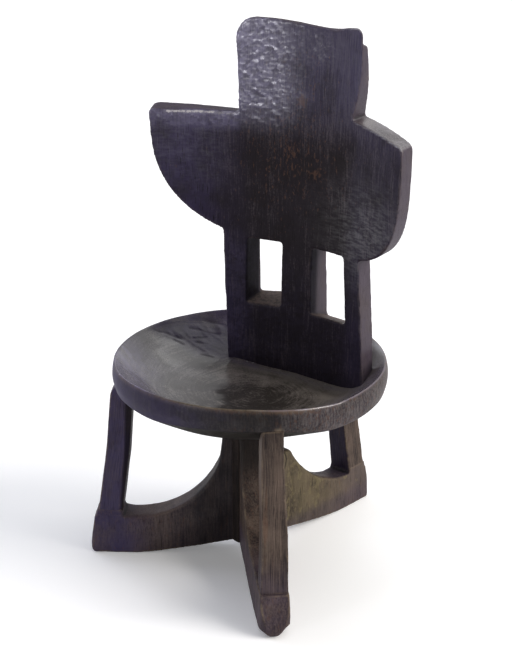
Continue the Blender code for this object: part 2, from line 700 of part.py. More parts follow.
def post_stub(name, grow, cutters, root):
    """Round stub on the post, or with a growth the cutter for the seat's pocket."""
    top = UNDERSIDE_MIDDLE + POST_TENON_LENGTH + grow
    radius = POST_TENON_RADIUS + grow
    low = UNDERSIDE_MIDDLE - POST_TENON_LENGTH
    profile = [(0.0, top), (radius, top), (radius, low), (0.0, low)]
    return turned(name, profile, POST_SEGMENTS, cutters, root)


def make_post(cap, parts, cutters, root):
    """Centre post, its flared head shaped to the seat's underside."""
    post = turned("centre_post", post_profile(), POST_SEGMENTS, parts, root)
    combine(post, cap, "DIFFERENCE")
    combine(post, post_stub("post_stub", 0.0, cutters, root), "UNION")
    finish(post, "centre_post")
    return post


# Assembly
def stand_on_origin(root, members):
    """Moves the chair so that the middle of its box stands on the origin."""
    bpy.context.view_layer.update()
    graph = bpy.context.evaluated_depsgraph_get()
    places = []
    for member in members:
        solid = member.evaluated_get(graph)
        places += [solid.matrix_world @ corner.co for corner in solid.data.vertices]
    for axis in (0, 1):
        values = [place[axis] for place in places]
        root.location[axis] = -(min(values) + max(values)) / 2.0
    root.location.z = -min(place.z for place in places)
    bpy.context.view_layer.update()


def main():
    for item in list(bpy.data.objects):
        bpy.data.objects.remove(item)
    parts = bpy.data.collections.new("carved_chair")
    cutters = bpy.data.collections.new("cutters")
    bpy.context.scene.collection.children.link(parts)
    bpy.context.scene.collection.children.link(cutters)
    root = bpy.data.objects.new("chair_root", None)
    parts.objects.link(root)

    cap = underside_cap(cutters, root)
    seat = place_with_seat(turned("seat", seat_profile(), SEAT_SEGMENTS, parts, root))
    combine(seat, board_pocket(cutters, root), "DIFFERENCE")
    combine(seat, post_stub("post_mortise", CLEARANCE, cutters, root), "DIFFERENCE")
    finish(seat, "seat")
    board = make_board(parts, cutters, root)
    post = make_post(cap, parts, cutters, root)
    members = [seat, board, post]
    for leg in LEG_TURNS:
        members.append(make_runner(leg, parts, cutters, root))
        members.append(make_strut(leg, cap, parts, cutters, root))
        combine(seat, upper_mortise(leg, cutters, root), "DIFFERENCE")
        combine(post, tongue_slot(leg, cutters, root), "DIFFERENCE")
    stand_on_origin(root, members)


main()
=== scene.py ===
"""Looks of a low carved wooden chair: dished seat, half-moon back board and three braced legs.

The file is laid out as an add-on. Each operator makes one piece, or one group of like
pieces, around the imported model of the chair, and main() runs them in order.
"""

import math

import bmesh
import bpy
import numpy as np
from bpy.props import FloatProperty, FloatVectorProperty, IntProperty, PointerProperty
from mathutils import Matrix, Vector


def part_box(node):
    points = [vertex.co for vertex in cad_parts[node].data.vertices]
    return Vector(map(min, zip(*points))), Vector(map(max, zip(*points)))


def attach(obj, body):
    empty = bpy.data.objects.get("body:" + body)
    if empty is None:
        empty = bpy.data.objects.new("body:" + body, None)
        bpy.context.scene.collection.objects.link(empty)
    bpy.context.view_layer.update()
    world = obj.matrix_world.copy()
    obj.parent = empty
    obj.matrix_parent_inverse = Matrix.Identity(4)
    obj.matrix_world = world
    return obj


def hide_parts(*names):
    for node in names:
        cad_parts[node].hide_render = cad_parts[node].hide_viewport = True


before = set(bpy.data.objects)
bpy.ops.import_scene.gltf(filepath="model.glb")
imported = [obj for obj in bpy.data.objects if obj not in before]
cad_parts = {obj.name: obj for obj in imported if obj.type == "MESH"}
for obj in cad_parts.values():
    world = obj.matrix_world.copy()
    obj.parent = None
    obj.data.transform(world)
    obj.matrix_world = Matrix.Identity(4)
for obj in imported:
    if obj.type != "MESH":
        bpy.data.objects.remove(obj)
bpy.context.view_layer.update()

bl_info = {
    "name": "Carved Chair",
    "version": (1, 0, 0),
    "blender": (4, 5, 0),
    "location": "3D View > Sidebar > Carved Chair",
    "description": "Carves, wears and finishes a low wooden chair around its packed model",
    "category": "Object",
}

SEAT_LOW, SEAT_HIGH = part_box("seat")
POST_LOW, POST_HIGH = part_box("centre_post")
SEAT_MIDDLE = ((SEAT_LOW[0] + SEAT_HIGH[0]) / 2.0, (SEAT_LOW[1] + SEAT_HIGH[1]) / 2.0)
POST_AXIS = ((POST_LOW[0] + POST_HIGH[0]) / 2.0, (POST_LOW[1] + POST_HIGH[1]) / 2.0)

# Turn of each leg about the post's axis, from straight ahead towards +X, in degrees
LEG_TURNS = {"front_right": 39.9, "front_left": -60.4, "rear": 171.1}

# Hollow face of the back board, from the post's axis and the rim's height
FACE_SHIFT = 0.0125
FACE_OFFSET = 0.0985
FACE_LEAN = 0.03
FACE_BEND = 0.375

# Top of the feet, where the struts stand
FOOT_TOP = 0.0585


def length(name, description, default):
    """A size in metres that the user may change."""
    return FloatProperty(name=name, description=description, default=default, unit="LENGTH", precision=4)


def share(name, description, default):
    """A plain number that the user may change."""
    return FloatProperty(name=name, description=description, default=default, precision=3)


def angle(name, description, degrees):
    """An angle that the user may change."""
    return FloatProperty(name=name, description=description, default=math.radians(degrees), subtype="ANGLE")


def colour(name, description, default):
    """A linear colour that the user may change."""
    return FloatVectorProperty(
        name=name, description=description, default=default, size=3, subtype="COLOR", min=0.0, max=1.0
    )


# Settings
class SeatLook(bpy.types.PropertyGroup):
    """Sizes and colours of the dished seat."""

    rim_radius: length("Rim radius", "Top edge of the rim, along the seat's longer way", 0.2125)
    rim_round: length("Rim rounding", "Rounding of the rim's top edge", 0.0022)
    wall_height: length("Wall height", "Height of the rim's outer wall", 0.040)
    wall_swell: length("Wall swell", "How far the wall swells past a straight line", 0.0035)
    wall_foot_radius: length("Wall foot radius", "Bottom edge of the wall", 0.211)
    wall_thin: length("Thin wall", "How far the wall's foot is raised round the front", 0.006)
    dish_depth: length("Dish depth", "Top of the rim down to the bottom of the dish", 0.061)
    dish_power: share("Dish power", "How flat the dish stays before it climbs to the rim", 4.0)
    belly_power: share("Belly power", "How flat the underside stays before it climbs to the wall", 2.6)
    oval: share("Oval", "Shorter way across the seat as a share of the longer way", 0.967)
    oval_turn: angle("Oval turn", "Direction of the shorter way", 33.0)
    ledge_height: length("Ledge height", "How far the back left of the dish is left standing", 0.0016)
    gouge_depth: length("Gouge depth", "Depth of the strokes left at the back left of the dish", 0.0005)
    segments: IntProperty(name="Segments", description="Faces around the rim", default=480, min=48)
    dark: colour("Dark wood", "Oiled wood in the middle of the dish", (0.020, 0.0165, 0.0140))
    light: colour("Light wood", "Paler streaks", (0.160, 0.140, 0.126))
    rubbed: colour("Rubbed wood", "Edges rubbed bare", (0.135, 0.102, 0.078))


class BoardLook(bpy.types.PropertyGroup):
    """Sizes and colours of the back board."""

    grid: length("Grid", "Spacing of the points on the carved surface", 0.00225)
    sill_drop: length("Right sill drop", "How far the right sill falls towards the back", 0.014)
    sill_rise: length("Left sill rise", "How far the left sill climbs towards the back", 0.006)
    tip_square: share("Left tip squareness", "How far the left wing's end turns square to the face", 0.45)
    dark: colour("Dark wood", "Smoked wood of the face", (0.0120, 0.0088, 0.0090))
    light: colour("Light wood", "Paler streaks and sides", (0.080, 0.064, 0.066))
    # Its rubbed colour also paints the highlights on the sills, the wing's root and the wing edge
    rubbed: colour("Rubbed wood", "Edges rubbed bare", (0.15, 0.115, 0.10))


class LegLook(bpy.types.PropertyGroup):
    """Sizes and colours of the post, the runners and the struts."""

    grid: length("Grid", "Spacing of the points on the carved surface", 0.0016)
    overlap: length("Overlap", "How far the struts run into the feet", 0.003)
    dark: colour("Dark wood", "Smoked wood", (0.022, 0.0165, 0.0160))
    light: colour("Light wood", "Paler streaks", (0.132, 0.096, 0.076))
    rubbed: colour("Rubbed wood", "Edges rubbed bare", (0.16, 0.12, 0.085))


class StageLook(bpy.types.PropertyGroup):
    """Camera, floor and light."""

    lens: FloatProperty(name="Lens", description="Focal length", default=86.49, unit="CAMERA")
    camera: FloatVectorProperty(
        name="Camera", description="Camera from the foot of the post", default=(1.2322, -1.8710, 1.2274),
        subtype="TRANSLATION", unit="LENGTH",
    )
    target: FloatVectorProperty(
        name="Target", description="Point looked at, from the foot of the post",
        default=(0.00157, 0.00104, 0.36256),
        subtype="TRANSLATION", unit="LENGTH",
    )
    floor_size: length("Floor size", "Side of the floor", 80.0)
    floor: colour("Floor", "Pale studio floor", (0.955, 0.965, 0.98))
    floor_glow: share("Floor glow", "Light of the floor's own that only makes its picture white", 0.17)
    fill: share("Fill", "Light from all around", 0.18)


# Meshes
def points_of(mesh):
    """Places of a mesh's points as an array."""
    places = np.empty(len(mesh.vertices) * 3, dtype=np.float32)
    mesh.vertices.foreach_get("co", places)
    return places.reshape(-1, 3).astype(np.float64)


def move_points(mesh, places):
    """Puts a mesh's points at new places."""
    mesh.vertices.foreach_set("co", places.astype(np.float32).ravel())
    mesh.update()


def normals_of(mesh):
    """Direction that the surface faces at each point, as an array."""
    facing = np.empty(len(mesh.vertices) * 3, dtype=np.float32)
    mesh.vertex_normals.foreach_get("vector", facing)
    return facing.reshape(-1, 3).astype(np.float64)


def store(mesh, name, values):
    """Keeps one number for each point of a mesh, for its material and its carving."""
    layer = mesh.attributes.new(name, "FLOAT", "POINT")
    layer.data.foreach_set("value", values.astype(np.float32))


def store_grain(mesh, places):
    """Keeps the places that a leaning piece's grain is drawn from, so that it follows the lean."""
    layer = mesh.attributes.new("grain_place", "FLOAT_VECTOR", "POINT")
    layer.data.foreach_set("vector", places.astype(np.float32).ravel())


def smooth_step(values, low, high):
    """0 below low, 1 above high and a soft climb between them; low may be the larger."""
    part = np.clip((values - low) / (high - low), 0.0, 1.0)
    return part * part * (3.0 - 2.0 * part)


def plain_mesh(item, name):
    """Mesh of an object with its modifiers applied; the object itself is removed."""
    graph = bpy.context.evaluated_depsgraph_get()
    mesh = bpy.data.meshes.new_from_object(item.evaluated_get(graph))
    bpy.data.objects.remove(item)
    mesh.name = name
    return mesh


def linked(name, mesh):
    """Object for a mesh, at the origin and in the scene."""
    item = bpy.data.objects.new(name, mesh)
    bpy.context.scene.collection.objects.link(item)
    return item


def carving_blank(node, grid):
    """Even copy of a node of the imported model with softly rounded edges."""
    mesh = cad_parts[node].data.copy()
    mesh.materials.clear()
    shape = bmesh.new()
    shape.from_mesh(mesh)
    bmesh.ops.remove_doubles(shape, verts=shape.verts, dist=0.00001)
    shape.to_mesh(mesh)
    shape.free()
    item = linked(node + "_blank", mesh)
    for name, spacing, passes in (("fine", grid * 0.6, 3), ("even", grid, 1)):
        remesh = item.modifiers.new(name, "REMESH")
        remesh.mode = "VOXEL"
        remesh.voxel_size = spacing
        soften = item.modifiers.new(name + "_soften", "SMOOTH")
        soften.factor = 0.5
        soften.iterations = passes
    return plain_mesh(item, node)


def edge_pairs(mesh):
    """The two ends of each edge, as an array."""
    pairs = np.empty(len(mesh.edges) * 2, dtype=np.int32)
    mesh.edges.foreach_get("vertices", pairs)
    return pairs.reshape(-1, 2)


def neighbour_mean(pairs, values):
    """Mean of each point's neighbours, for an array of numbers or places."""
    first, second = pairs[:, 0], pairs[:, 1]
    size = len(values)
    count = np.bincount(first, minlength=size) + np.bincount(second, minlength=size)
    columns = values.reshape(size, -1)
    total = np.empty_like(columns)
    for i in range(columns.shape[1]):
        total[:, i] = np.bincount(first, columns[second, i], size)
        total[:, i] += np.bincount(second, columns[first, i], size)
    return (total / np.maximum(count, 1)[:, None]).reshape(values.shape)


def relax(mesh, mask, passes):
    """Rounds off the parts of a mesh that a mask picks out."""
    pairs = edge_pairs(mesh)
    places = points_of(mesh)
    for _ in range(passes):
        places += 0.5 * mask[:, None] * (neighbour_mean(pairs, places) - places)
    move_points(mesh, places)


def edges_and_creases(mesh, passes=4):
    """How sharply the surface turns at each point, per metre: above 0 on edges, below 0 in creases."""
    pairs = edge_pairs(mesh)
    places = points_of(mesh)
    size = len(places)
    spacing = np.linalg.norm(places[pairs[:, 0]] - places[pairs[:, 1]], axis=1)
    around = np.bincount(pairs[:, 0], spacing, size) + np.bincount(pairs[:, 1], spacing, size)
    count = np.bincount(pairs[:, 0], minlength=size) + np.bincount(pairs[:, 1], minlength=size)
    around = np.maximum(around / np.maximum(count, 1), 0.0005)
    stand = ((places - neighbour_mean(pairs, places)) * normals_of(mesh)).sum(axis=1)
    turn = 4.0 * stand / around ** 2
    for _ in range(passes):
        turn = 0.5 * turn + 0.5 * neighbour_mean(pairs, turn)
    return turn


def spot(first, second, middle, size):
    """Soft round spot on two coordinates: 1 in its middle, fading out over its size."""
    return np.exp(-((first - middle[0]) ** 2 + (second - middle[1]) ** 2) / size ** 2)


# Node trees
def place(tree, kind, inputs=None, **settings):
    """Adds a node, sets its options and fills its inputs with values or links."""
    node = tree.nodes.new(kind)
    for key, value in settings.items():
        setattr(node, key, value)
    for key, value in (inputs or {}).items():
        if isinstance(value, bpy.types.NodeSocket):
            tree.links.new(value, node.inputs[key])
        else:
            node.inputs[key].default_value = value
    return node


def sums(tree, operation, first, second=0.0, third=0.0):
    """Output of a Math node."""
    return place(tree, "ShaderNodeMath", {0: first, 1: second, 2: third}, operation=operation).outputs[0]


def climb(tree, value, low, high, bottom=0.0, top=1.0):
    """Soft climb of a value from bottom at low to top at high."""
    inputs = {"Value": value, "From Min": low, "From Max": high, "To Min": bottom, "To Max": top}
    return place(tree, "ShaderNodeMapRange", inputs, interpolation_type="SMOOTHSTEP").outputs["Result"]


def blend(tree, factor, first, second):
    """Output of a colour Mix node."""
    node = place(tree, "ShaderNodeMix", data_type="RGBA", blend_type="MIX", clamp_factor=True)
    for socket, value in ((node.inputs[0], factor), (node.inputs[6], first), (node.inputs[7], second)):
        if isinstance(value, bpy.types.NodeSocket):
            tree.links.new(value, socket)
        else:
            socket.default_value = value
    return node.outputs[2]


def vectors(tree, operation, first, second, third=None):
    """Output of a Vector Math node."""
    inputs = {0: first, 1: second} if third is None else {0: first, 1: second, 2: third}
    return place(tree, "ShaderNodeVectorMath", inputs, operation=operation).outputs[0]


def stretched(tree, vector, scale):
    """A vector times three factors, which draws a pattern out along an axis."""
    return vectors(tree, "MULTIPLY", vector, scale)


def noise(tree, vector, scale, detail=2.0, roughness=0.5):
    """Value of a Noise texture."""
    inputs = {"Vector": vector, "Scale": scale, "Detail": detail, "Roughness": roughness}
    return place(tree, "ShaderNodeTexNoise", inputs).outputs["Fac"]


def new_group(name, kind, inputs, outputs):
    """Empty node group with named sockets; an input is (name, socket type, default)."""
    tree = bpy.data.node_groups.new(name, kind)
    for label, socket_type, default in inputs:
        socket = tree.interface.new_socket(label, in_out="INPUT", socket_type=socket_type)
        if default is not None:
            socket.default_value = default
    for label, socket_type in outputs:
        tree.interface.new_socket(label, in_out="OUTPUT", socket_type=socket_type)
    return tree, tree.nodes.new("NodeGroupInput"), tree.nodes.new("NodeGroupOutput")


def run_tree(item, tree, values):
    """Gives an object a Geometry Nodes modifier with named values."""
    modifier = item.modifiers.new(tree.name, "NODES")
    modifier.node_group = tree
    sockets = [s for s in tree.interface.items_tree if s.item_type == "SOCKET" and s.in_out == "INPUT"]
    names = {socket.name: socket.identifier for socket in sockets}
    for label, value in values.items():
        modifier[names[label]] = value


# Geometry Nodes
def turned_tree():
    """Turns a half section, held as a chain of points (radius, 0, height), into a slightly oval bowl."""
    tree, start, end = new_group(
        "turned_bowl", "GeometryNodeTree",
        [("Geometry", "NodeSocketGeometry", None), ("Chain Points", "NodeSocketInt", 2),
         ("Segments", "NodeSocketInt", 48), ("Oval", "NodeSocketFloat", 1.0),
         ("Turn", "NodeSocketFloat", 0.0),
         ("Middle", "NodeSocketVector", (0.0, 0.0, 0.0)), ("Material", "NodeSocketMaterial", None)],
        [("Geometry", "NodeSocketGeometry")],
    )
    columns = sums(tree, "ADD", start.outputs["Segments"], 1.0)
    counts = {"Vertices X": start.outputs["Chain Points"], "Vertices Y": columns}
    grid = place(tree, "GeometryNodeMeshGrid", counts)
    index = place(tree, "GeometryNodeInputIndex").outputs[0]
    ring = sums(tree, "FLOOR", sums(tree, "DIVIDE", sums(tree, "ADD", index, 0.5), columns))
    around = sums(tree, "SUBTRACT", index, sums(tree, "MULTIPLY", ring, columns))
    bearing = sums(tree, "MULTIPLY", sums(tree, "DIVIDE", around, start.outputs["Segments"]), 2.0 * math.pi)
    position = place(tree, "GeometryNodeInputPosition").outputs[0]
    sample = place(tree, "GeometryNodeSampleIndex", data_type="FLOAT_VECTOR")
    tree.links.new(start.outputs["Geometry"], sample.inputs["Geometry"])
    tree.links.new(position, sample.inputs["Value"])
    tree.links.new(ring, sample.inputs["Index"])
    chain = place(tree, "ShaderNodeSeparateXYZ", {0: sample.outputs[0]})
    radius, height = chain.outputs["X"], chain.outputs["Z"]
    short_way = sums(tree, "MULTIPLY", radius, sums(tree, "COSINE", bearing))
    short_way = sums(tree, "MULTIPLY", short_way, start.outputs["Oval"])
    long_way = sums(tree, "MULTIPLY", radius, sums(tree, "SINE", bearing))
    bowl = place(tree, "ShaderNodeCombineXYZ", {"X": short_way, "Y": long_way, "Z": height}).outputs[0]
    turned = place(
        tree, "ShaderNodeVectorRotate", {"Vector": bowl, "Angle": start.outputs["Turn"]},
        rotation_type="Z_AXIS",
    ).outputs[0]
    moved = vectors(tree, "ADD", turned, start.outputs["Middle"])
    shaped = place(tree, "GeometryNodeSetPosition", {"Geometry": grid.outputs["Mesh"], "Position": moved})
    joined = place(tree, "GeometryNodeMergeByDistance", {"Geometry": shaped.outputs[0], "Distance": 0.000005})
    finish_tree(tree, joined.outputs[0], start, end)
    return tree


def finish_tree(tree, geometry, start, end):
    """Ends a geometry tree: its instances are made real and get the material."""
    whole = place(tree, "GeometryNodeRealizeInstances", {"Geometry": geometry})
    inputs = {"Geometry": whole.outputs[0], "Material": start.outputs["Material"]}
    tree.links.new(place(tree, "GeometryNodeSetMaterial", inputs).outputs[0], end.inputs["Geometry"])


def tool_mark_tree():
    """Cuts shallow tool marks into a surface where its points ask for them, and makes flat faces uneven."""
    tree, start, end = new_group(
        "tool_marks", "GeometryNodeTree",
        [("Geometry", "NodeSocketGeometry", None), ("Mark Size", "NodeSocketVector", (0.012, 0.012, 0.012)),
         ("Mark Depth", "NodeSocketFloat", 0.0008), ("Wobble Size", "NodeSocketFloat", 0.05),
         ("Wobble Depth", "NodeSocketFloat", 0.001), ("Material", "NodeSocketMaterial", None)],
        [("Geometry", "NodeSocketGeometry")],
    )
    position = place(tree, "GeometryNodeInputPosition").outputs[0]
    normal = place(tree, "GeometryNodeInputNormal").outputs[0]
    zone = place(tree, "GeometryNodeInputNamedAttribute", {"Name": "tool_zone"}, data_type="FLOAT")
    zone = zone.outputs["Attribute"]
    cells = vectors(tree, "DIVIDE", position, start.outputs["Mark Size"])
    wander = place(tree, "ShaderNodeTexNoise", {"Vector": cells, "Scale": 0.6, "Detail": 2.0})
    strayed = vectors(tree, "MULTIPLY_ADD", wander.outputs["Color"], (1.4, 1.4, 1.4), cells)
    scoop = place(
        tree, "ShaderNodeTexVoronoi", {"Vector": strayed, "Scale": 1.0, "Randomness": 1.0},
        voronoi_dimensions="3D", feature="F1",
    )
    bowl = sums(tree, "MULTIPLY", scoop.outputs["Distance"], scoop.outputs["Distance"])
    raised = sums(tree, "SUBTRACT", bowl, 0.25)
    marks = sums(tree, "MULTIPLY", sums(tree, "MULTIPLY", raised, zone), start.outputs["Mark Depth"])
    facet = place(tree, "FunctionNodeSeparateColor", {0: scoop.outputs["Color"]}).outputs[0]
    within = vectors(tree, "SUBTRACT", scoop.outputs["Position"], strayed)
    sides = place(tree, "ShaderNodeSeparateXYZ", {0: within})
    slope = sums(tree, "ADD", sides.outputs["Z"], sums(tree, "MULTIPLY", sides.outputs["X"], 0.6))
    broad = sums(tree, "DIVIDE", 1.0, start.outputs["Wobble Size"])
    uneven = sums(tree, "SUBTRACT", noise(tree, position, broad, 3.0), 0.5)
    height = sums(tree, "ADD", marks, sums(tree, "MULTIPLY", uneven, start.outputs["Wobble Depth"]))
    offset = place(tree, "ShaderNodeVectorMath", {0: normal, "Scale": height}, operation="SCALE").outputs[0]
    named = start.outputs["Geometry"]
    for label, value in (("slope", slope), ("facet", facet)):
        inputs = {"Geometry": named, "Name": label, "Value": value}
        named = place(tree, "GeometryNodeStoreNamedAttribute", inputs, data_type="FLOAT", domain="POINT")
        named = named.outputs[0]
    cut = place(tree, "GeometryNodeSetPosition", {"Geometry": named, "Offset": offset})
    smooth = place(tree, "GeometryNodeSetShadeSmooth", {"Geometry": cut.outputs[0]})
    finish_tree(tree, smooth.outputs[0], start, end)
    return tree


# Shader groups
def upright_grain_group():
    """Grain of a log that stands upright: fine streaks, broad streaks and dark pores."""
    tree, start, end = new_group(
        "upright_grain", "ShaderNodeTree",
        [("Vector", "NodeSocketVector", None), ("Fineness", "NodeSocketFloat", 420.0),
         ("Drawn Out", "NodeSocketFloat", 22.0)],
        [("Streak", "NodeSocketFloat"), ("Band", "NodeSocketFloat"), ("Pore", "NodeSocketFloat")],
    )
    bend = place(tree, "ShaderNodeTexNoise", {"Vector": start.outputs["Vector"], "Scale": 7.0, "Detail": 2.0})
    centred = {0: bend.outputs["Color"], 1: (0.5, 0.5, 0.5)}
    lean = place(tree, "ShaderNodeVectorMath", centred, operation="SUBTRACT")
    shift = place(tree, "ShaderNodeVectorMath", {0: lean.outputs[0], "Scale": 0.012}, operation="SCALE")
    wavy = vectors(tree, "ADD", start.outputs["Vector"], shift.outputs[0])
    along = sums(tree, "DIVIDE", 1.0, start.outputs["Drawn Out"])
    squeeze = place(tree, "ShaderNodeCombineXYZ", {"X": 1.0, "Y": 1.0, "Z": along}).outputs[0]
    fibre = place(tree, "ShaderNodeVectorMath", {0: wavy, 1: squeeze}, operation="MULTIPLY").outputs[0]
    streak = noise(tree, fibre, start.outputs["Fineness"], 3.0, 0.6)
    band = noise(tree, fibre, sums(tree, "MULTIPLY", start.outputs["Fineness"], 0.12), 2.0, 0.5)
    pore = noise(tree, fibre, sums(tree, "MULTIPLY", start.outputs["Fineness"], 1.9), 1.0, 0.5)
    tree.links.new(streak, end.inputs["Streak"])
    tree.links.new(band, end.inputs["Band"])
    tree.links.new(climb(tree, pore, 0.62, 0.74), end.inputs["Pore"])
    return tree


def worn_edge_group():
    """Where hands, feet and floor have rubbed the edges, and where painted highlights are laid on, broken up by
    a noise.
    """
    tree, start, end = new_group(
        "worn_edge_and_highlight", "ShaderNodeTree",
        [("Vector", "NodeSocketVector", None), ("Turn", "NodeSocketFloat", 0.0),
         ("Rub And Highlight", "NodeSocketFloat", 0.0)],
        [("Rubbed", "NodeSocketFloat"), ("Crease", "NodeSocketFloat")],
    )
    patches = climb(tree, noise(tree, start.outputs["Vector"], 60.0, 5.0, 0.7), 0.38, 0.64, 0.0, 1.0)
    edge = sums(tree, "MULTIPLY", climb(tree, start.outputs["Turn"], 70.0, 330.0), patches)
    broken = climb(tree, noise(tree, start.outputs["Vector"], 150.0, 4.0, 0.7), 0.34, 0.58, 0.1, 1.0)
    rubbed = sums(tree, "MAXIMUM", edge, sums(tree, "MULTIPLY", start.outputs["Rub And Highlight"], broken))
    tree.links.new(rubbed, end.inputs["Rubbed"])
    tree.links.new(climb(tree, start.outputs["Turn"], -25.0, -200.0), end.inputs["Crease"])
    return tree


def end_grain_group():
    """End grain of the log around its pith: growth rings and fine scraped lines along them."""
    tree, start, end = new_group(
        "end_grain", "ShaderNodeTree",
        [("Vector", "NodeSocketVector", None), ("Pith", "NodeSocketVector", (0.0, 0.0, 0.0)),
         ("Ring Width", "NodeSocketFloat", 0.009)],
        [("Ring", "NodeSocketFloat"), ("Scrape", "NodeSocketFloat")],
    )
    apart = place(
        tree, "ShaderNodeVectorMath", {0: start.outputs["Vector"], 1: start.outputs["Pith"]},
        operation="SUBTRACT",
    ).outputs[0]
    parts = place(tree, "ShaderNodeSeparateXYZ", {0: stretched(tree, apart, (1.0, 1.2, 0.0))})
    flattened = stretched(tree, apart, (1.0, 1.2, 0.0))
    far = place(tree, "ShaderNodeVectorMath", {0: flattened}, operation="LENGTH").outputs["Value"]
    back = sums(tree, "MULTIPLY", parts.outputs["Y"], -1.0)
    around = sums(tree, "ARCTAN2", parts.outputs["X"], back)
    waver = noise(tree, start.outputs["Vector"], 9.0, 2.0)
    wavy = sums(tree, "ADD", far, sums(tree, "MULTIPLY", waver, 0.022))
    rings = sums(tree, "DIVIDE", sums(tree, "MULTIPLY", wavy, 2.0 * math.pi), start.outputs["Ring Width"])
    rings = sums(tree, "SINE", rings)
    polar = place(
        tree, "ShaderNodeCombineXYZ",
        {"X": sums(tree, "MULTIPLY", wavy, 250.0), "Y": sums(tree, "MULTIPLY", around, 1.6), "Z": 0.0},
    ).outputs[0]
    tree.links.new(sums(tree, "MULTIPLY", rings, 0.5), end.inputs["Ring"])
    tree.links.new(noise(tree, polar, 1.0, 5.0, 0.72), end.inputs["Scrape"])
    return tree


def fleck_group():
    """Scattered flecks and blotches, by size and by how much of the surface they cover."""
    tree, start, end = new_group(
        "flecks", "ShaderNodeTree",
        [("Vector", "NodeSocketVector", None), ("Scale", "NodeSocketFloat", 60.0),
         ("Upright", "NodeSocketFloat", 2.0),
         ("Cover", "NodeSocketFloat", 0.0)],
        [("Fleck", "NodeSocketFloat")],
    )
    along = sums(tree, "DIVIDE", 1.0, start.outputs["Upright"])
    squeeze = place(tree, "ShaderNodeCombineXYZ", {"X": 1.0, "Y": 1.0, "Z": along}).outputs[0]
    drawn = vectors(tree, "MULTIPLY", start.outputs["Vector"], squeeze)
    ragged = noise(tree, drawn, start.outputs["Scale"], 5.0, 0.62)
    level = sums(tree, "SUBTRACT", 0.74, sums(tree, "MULTIPLY", start.outputs["Cover"], 0.36))
    edge = sums(tree, "DIVIDE", sums(tree, "SUBTRACT", ragged, level), 0.10)
    clipped = place(tree, "ShaderNodeClamp", {"Value": edge}).outputs[0]
    shown = sums(tree, "MULTIPLY", clipped, climb(tree, start.outputs["Cover"], 0.0, 0.15))
    tree.links.new(shown, end.inputs["Fleck"])
    return tree


def mark(tree, name):
    """A number that a piece keeps for each of its points."""
    return place(tree, "ShaderNodeAttribute", attribute_name=name).outputs["Fac"]


def grouped(tree, name, inputs):
    """A shared shader group with its inputs filled."""
    return place(tree, "ShaderNodeGroup", inputs, node_tree=bpy.data.node_groups[name])


def flecks(tree, vector, scale, upright, cover):
    """Output of the shared fleck group."""
    inputs = {"Vector": vector, "Scale": scale, "Upright": upright, "Cover": cover}
    return grouped(tree, "flecks", inputs).outputs["Fleck"]


# Colours mixed into the wood: a violet for painted light, rust, earth, a pale violet for painted sheen and a
# grey for painted highlights
VIOLET_LIGHT = (0.032, 0.024, 0.062, 1.0)
RUST = (0.092, 0.048, 0.033, 1.0)
EARTH = (0.150, 0.122, 0.066, 1.0)
SHEEN_VIOLET = (0.110, 0.094, 0.185, 1.0)
HIGHLIGHT_GREY = (0.40, 0.375, 0.39, 1.0)


